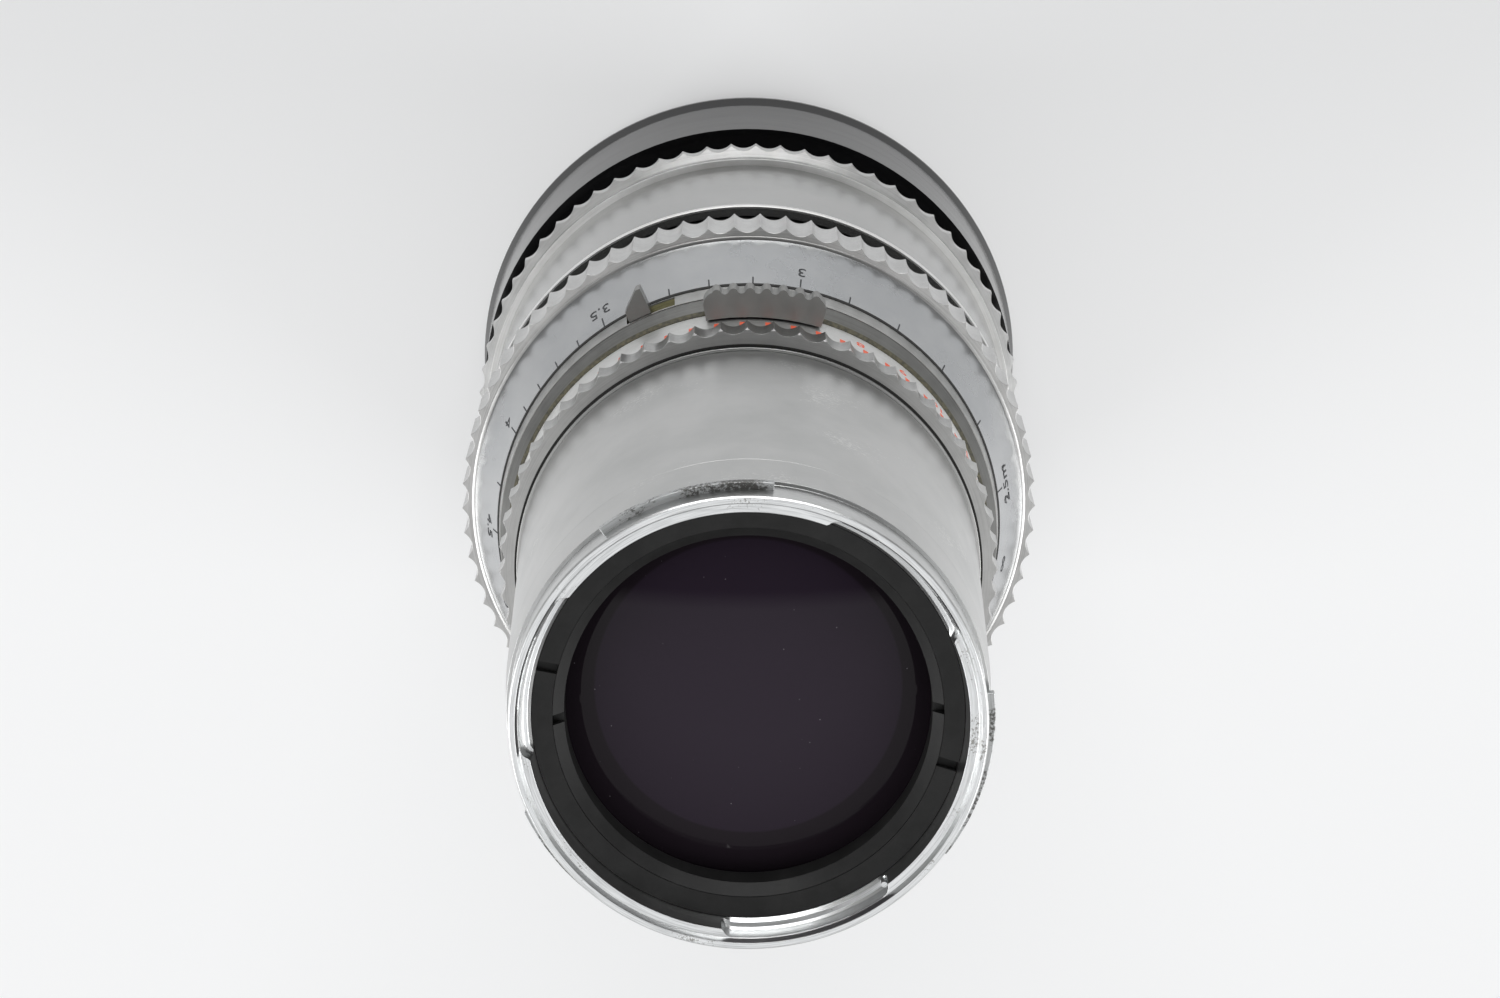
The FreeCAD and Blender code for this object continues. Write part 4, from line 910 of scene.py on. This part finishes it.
# The other rings take a better material on their own solids.
nodeMaterials = {
    "satin_chrome": satinChrome, "bright_chrome": wornChrome, "black_paint": blackAnodised,
    "black_plastic": capPlastic, "aluminium": turnedAluminium, "brass": turnedBrass,
    "steel": turnedChrome, "blade_steel": bladeSteel, "glass": innerGlass,
}
slotOfNode = {row["node"]: row["material_slot"] for row in frame["record"]["subparts"]}
ownMaterial = {
    "scale_cone_ring": coneChrome, "aperture_ring": shadedApertureChrome, "index_ring": ringChrome,
    "barrel_band": bandChrome, "interlock_tab": shadedTabChrome, "preview_lever": shadedLeverChrome,
    "front_element": coatedGlass, "front_cell": innerBlack, "stray_light_tube": innerBlack,
    "shutter_housing": innerBlack, "shutter_cover": innerBlack, "rear_cell": innerBlack,
    "guide_tube": innerBlack, "focus_sleeve": blackAnodised, "carriage_sleeve": blackAnodised,
}
for name, piece in frame["nodes"].items():
    piece.data.materials.clear()
    piece.data.materials.append(ownMaterial.get(name, nodeMaterials[slotOfNode[name]]))
print("solids have their finishes")


# Floor, lamps and camera. The camera looks down on the front of the lens with the tab side up.
camera = {
    "lens": 85.06, "sensor": 36.0, "tilt": 16.57, "distance": 404.2, "aside": -0.19, "down": 26.06,
}
studio = {
    "sky": ((0.02, 0.85), (0.12, 0.3), (0.5, 0.22), (0.9, 0.9)),
    "behindCamera": 0.06, "darkSide": (-0.06, 0.0), "darkHeight": (0.8, 0.86),
    "boxPower": 7.5, "boxSize": (0.7, 0.8), "boxAside": 1.0, "boxHeight": 0.62, "boxAhead": 0.4,
    "farPower": 7.0, "farSize": (0.9, 0.5), "farPlace": (0, -1.1, 0.5), "aim": (0, 0, 0.1),
    "floor": "#B4B5B6", "floorSize": 40.0, "nearGlow": 0.42, "farGlow": 0.2,
    "glowFrom": -0.16, "glowTo": 0.02, "outerGlow": 0.85, "outerStart": 0.35, "outerEnd": 1.8,
}


def placeCamera():
    tilt = math.radians(camera["tilt"])
    data = bpy.data.cameras.new("photoCamera")
    data.lens = camera["lens"]
    data.sensor_width = camera["sensor"]
    data.clip_start = 0.01
    data.clip_end = 20
    view = bpy.data.objects.new("photoCamera", data)
    bpy.context.scene.collection.objects.link(view)
    # from the middle of the rim back along the view, in the lens's own frame
    across = camera["aside"]
    behind = -camera["down"] * math.cos(tilt) - camera["distance"] * math.sin(tilt)
    above = -camera["down"] * math.sin(tilt) + camera["distance"] * math.cos(tilt)
    view.location = (across * mm, behind * mm, (rimTop + above) * mm)
    view.rotation_euler = (-tilt, 0, math.pi)
    bpy.context.scene.camera = view


def addLamp(name, place, size, power):
    data = bpy.data.lights.new(name, "AREA")
    data.shape = "RECTANGLE"
    data.size, data.size_y = size
    data.energy = power
    lamp = bpy.data.objects.new(name, data)
    bpy.context.scene.collection.objects.link(lamp)
    lamp.location = place
    look = Vector(studio["aim"]) - Vector(place)
    lamp.rotation_euler = look.to_track_quat("-Z", "Y").to_euler()


def makeFloor():
    deselectAll()
    bpy.ops.mesh.primitive_plane_add(size=studio["floorSize"], location=(0, 0, 0))
    floor = bpy.context.active_object
    floor.name = "studioTable"
    material, tree = newMaterial("whiteAcrylicTable")
    # the table looks lit to the camera, to metal and to glass, and sends no more light up itself
    ways = addNode(tree, "ShaderNodeLightPath").outputs
    seen = addNode(tree, "ShaderNodeMath", {0: ways["Is Camera Ray"], 1: ways["Is Glossy Ray"]},
                   operation="MAXIMUM")
    seen = addNode(tree, "ShaderNodeMath",
                   {0: seen.outputs["Value"], 1: ways["Is Transmission Ray"]}, operation="MAXIMUM")
    # paler towards the near side of the table
    place = addNode(tree, "ShaderNodeTexCoord").outputs["Object"]
    ahead = addNode(tree, "ShaderNodeSeparateXYZ", {"Vector": place}).outputs["Y"]
    fade = addNode(tree, "ShaderNodeMapRange",
                   {"Value": ahead, "From Min": studio["glowFrom"],
                    "From Max": studio["glowTo"], "To Min": studio["farGlow"],
                    "To Max": studio["nearGlow"]},
                   interpolation_type="SMOOTHSTEP")
    # and at one tone far out, where the lamps no longer reach it
    away = addNode(tree, "ShaderNodeVectorMath", {0: place}, operation="LENGTH")
    outer = addNode(tree, "ShaderNodeMapRange",
                    {"Value": away.outputs["Value"], "From Min": studio["outerStart"],
                     "From Max": studio["outerEnd"], "To Min": fade.outputs["Result"],
                     "To Max": studio["outerGlow"]}, interpolation_type="SMOOTHSTEP")
    glow = addNode(tree, "ShaderNodeMath", {0: seen.outputs["Value"], 1: outer.outputs["Result"]},
                   operation="MULTIPLY")
    shader = addNode(tree, "ShaderNodeBsdfPrincipled",
                     {"Base Color": linear(studio["floor"]), "Roughness": 0.4, "IOR": 1.3,
                      "Emission Color": linear("#FFFFFF"),
                      "Emission Strength": glow.outputs["Value"]})
    finishMaterial(tree, shader)
    floor.data.materials.append(material)


def makeSky():
    # a pale edge where the table ends, dim walls, and a pale ceiling
    world = bpy.data.worlds.new("studio")
    world.use_nodes = True
    tree = world.node_tree
    tree.nodes.clear()
    way = addNode(tree, "ShaderNodeTexCoord").outputs["Generated"]
    parts = addNode(tree, "ShaderNodeSeparateXYZ", {"Vector": way}).outputs
    fade = addNode(tree, "ShaderNodeValToRGB", {"Fac": parts["Z"]})
    rampStops(fade, [(height, (tone, tone, tone, 1)) for height, tone in studio["sky"]])
    # the camera's side of the ceiling is dark, because the glass mirrors it
    sideFrom, sideTo = studio["darkSide"]
    side = addNode(tree, "ShaderNodeMapRange",
                   {"Value": parts["Y"], "From Min": sideFrom, "From Max": sideTo})
    lowest, highest = studio["darkHeight"]
    below = addNode(tree, "ShaderNodeMapRange",
                    {"Value": parts["Z"], "From Min": lowest, "From Max": highest,
                     "To Min": 1.0, "To Max": 0.0})
    pale = addNode(tree, "ShaderNodeMath", {0: side.outputs["Result"], 1: below.outputs["Result"]},
                   operation="MAXIMUM")
    level = addNode(tree, "ShaderNodeMapRange",
                    {"Value": pale.outputs["Value"], "To Min": studio["behindCamera"],
                     "To Max": 1.0})
    glow = addNode(tree, "ShaderNodeBackground",
                   {"Color": fade.outputs["Color"], "Strength": level.outputs["Result"]})
    addNode(tree, "ShaderNodeOutputWorld", {"Surface": glow.outputs["Background"]})
    bpy.context.scene.world = world


placeCamera()
makeFloor()
makeSky()
for name, side in (("softboxLeft", 1), ("softboxRight", -1)):
    addLamp(name, (side * studio["boxAside"], studio["boxAhead"], studio["boxHeight"]),
            studio["boxSize"], studio["boxPower"])
addLamp("softboxFar", studio["farPlace"], studio["farSize"], studio["farPower"])
bpy.context.scene.view_settings.view_transform = "Standard"
print("camera, lamps and floor")
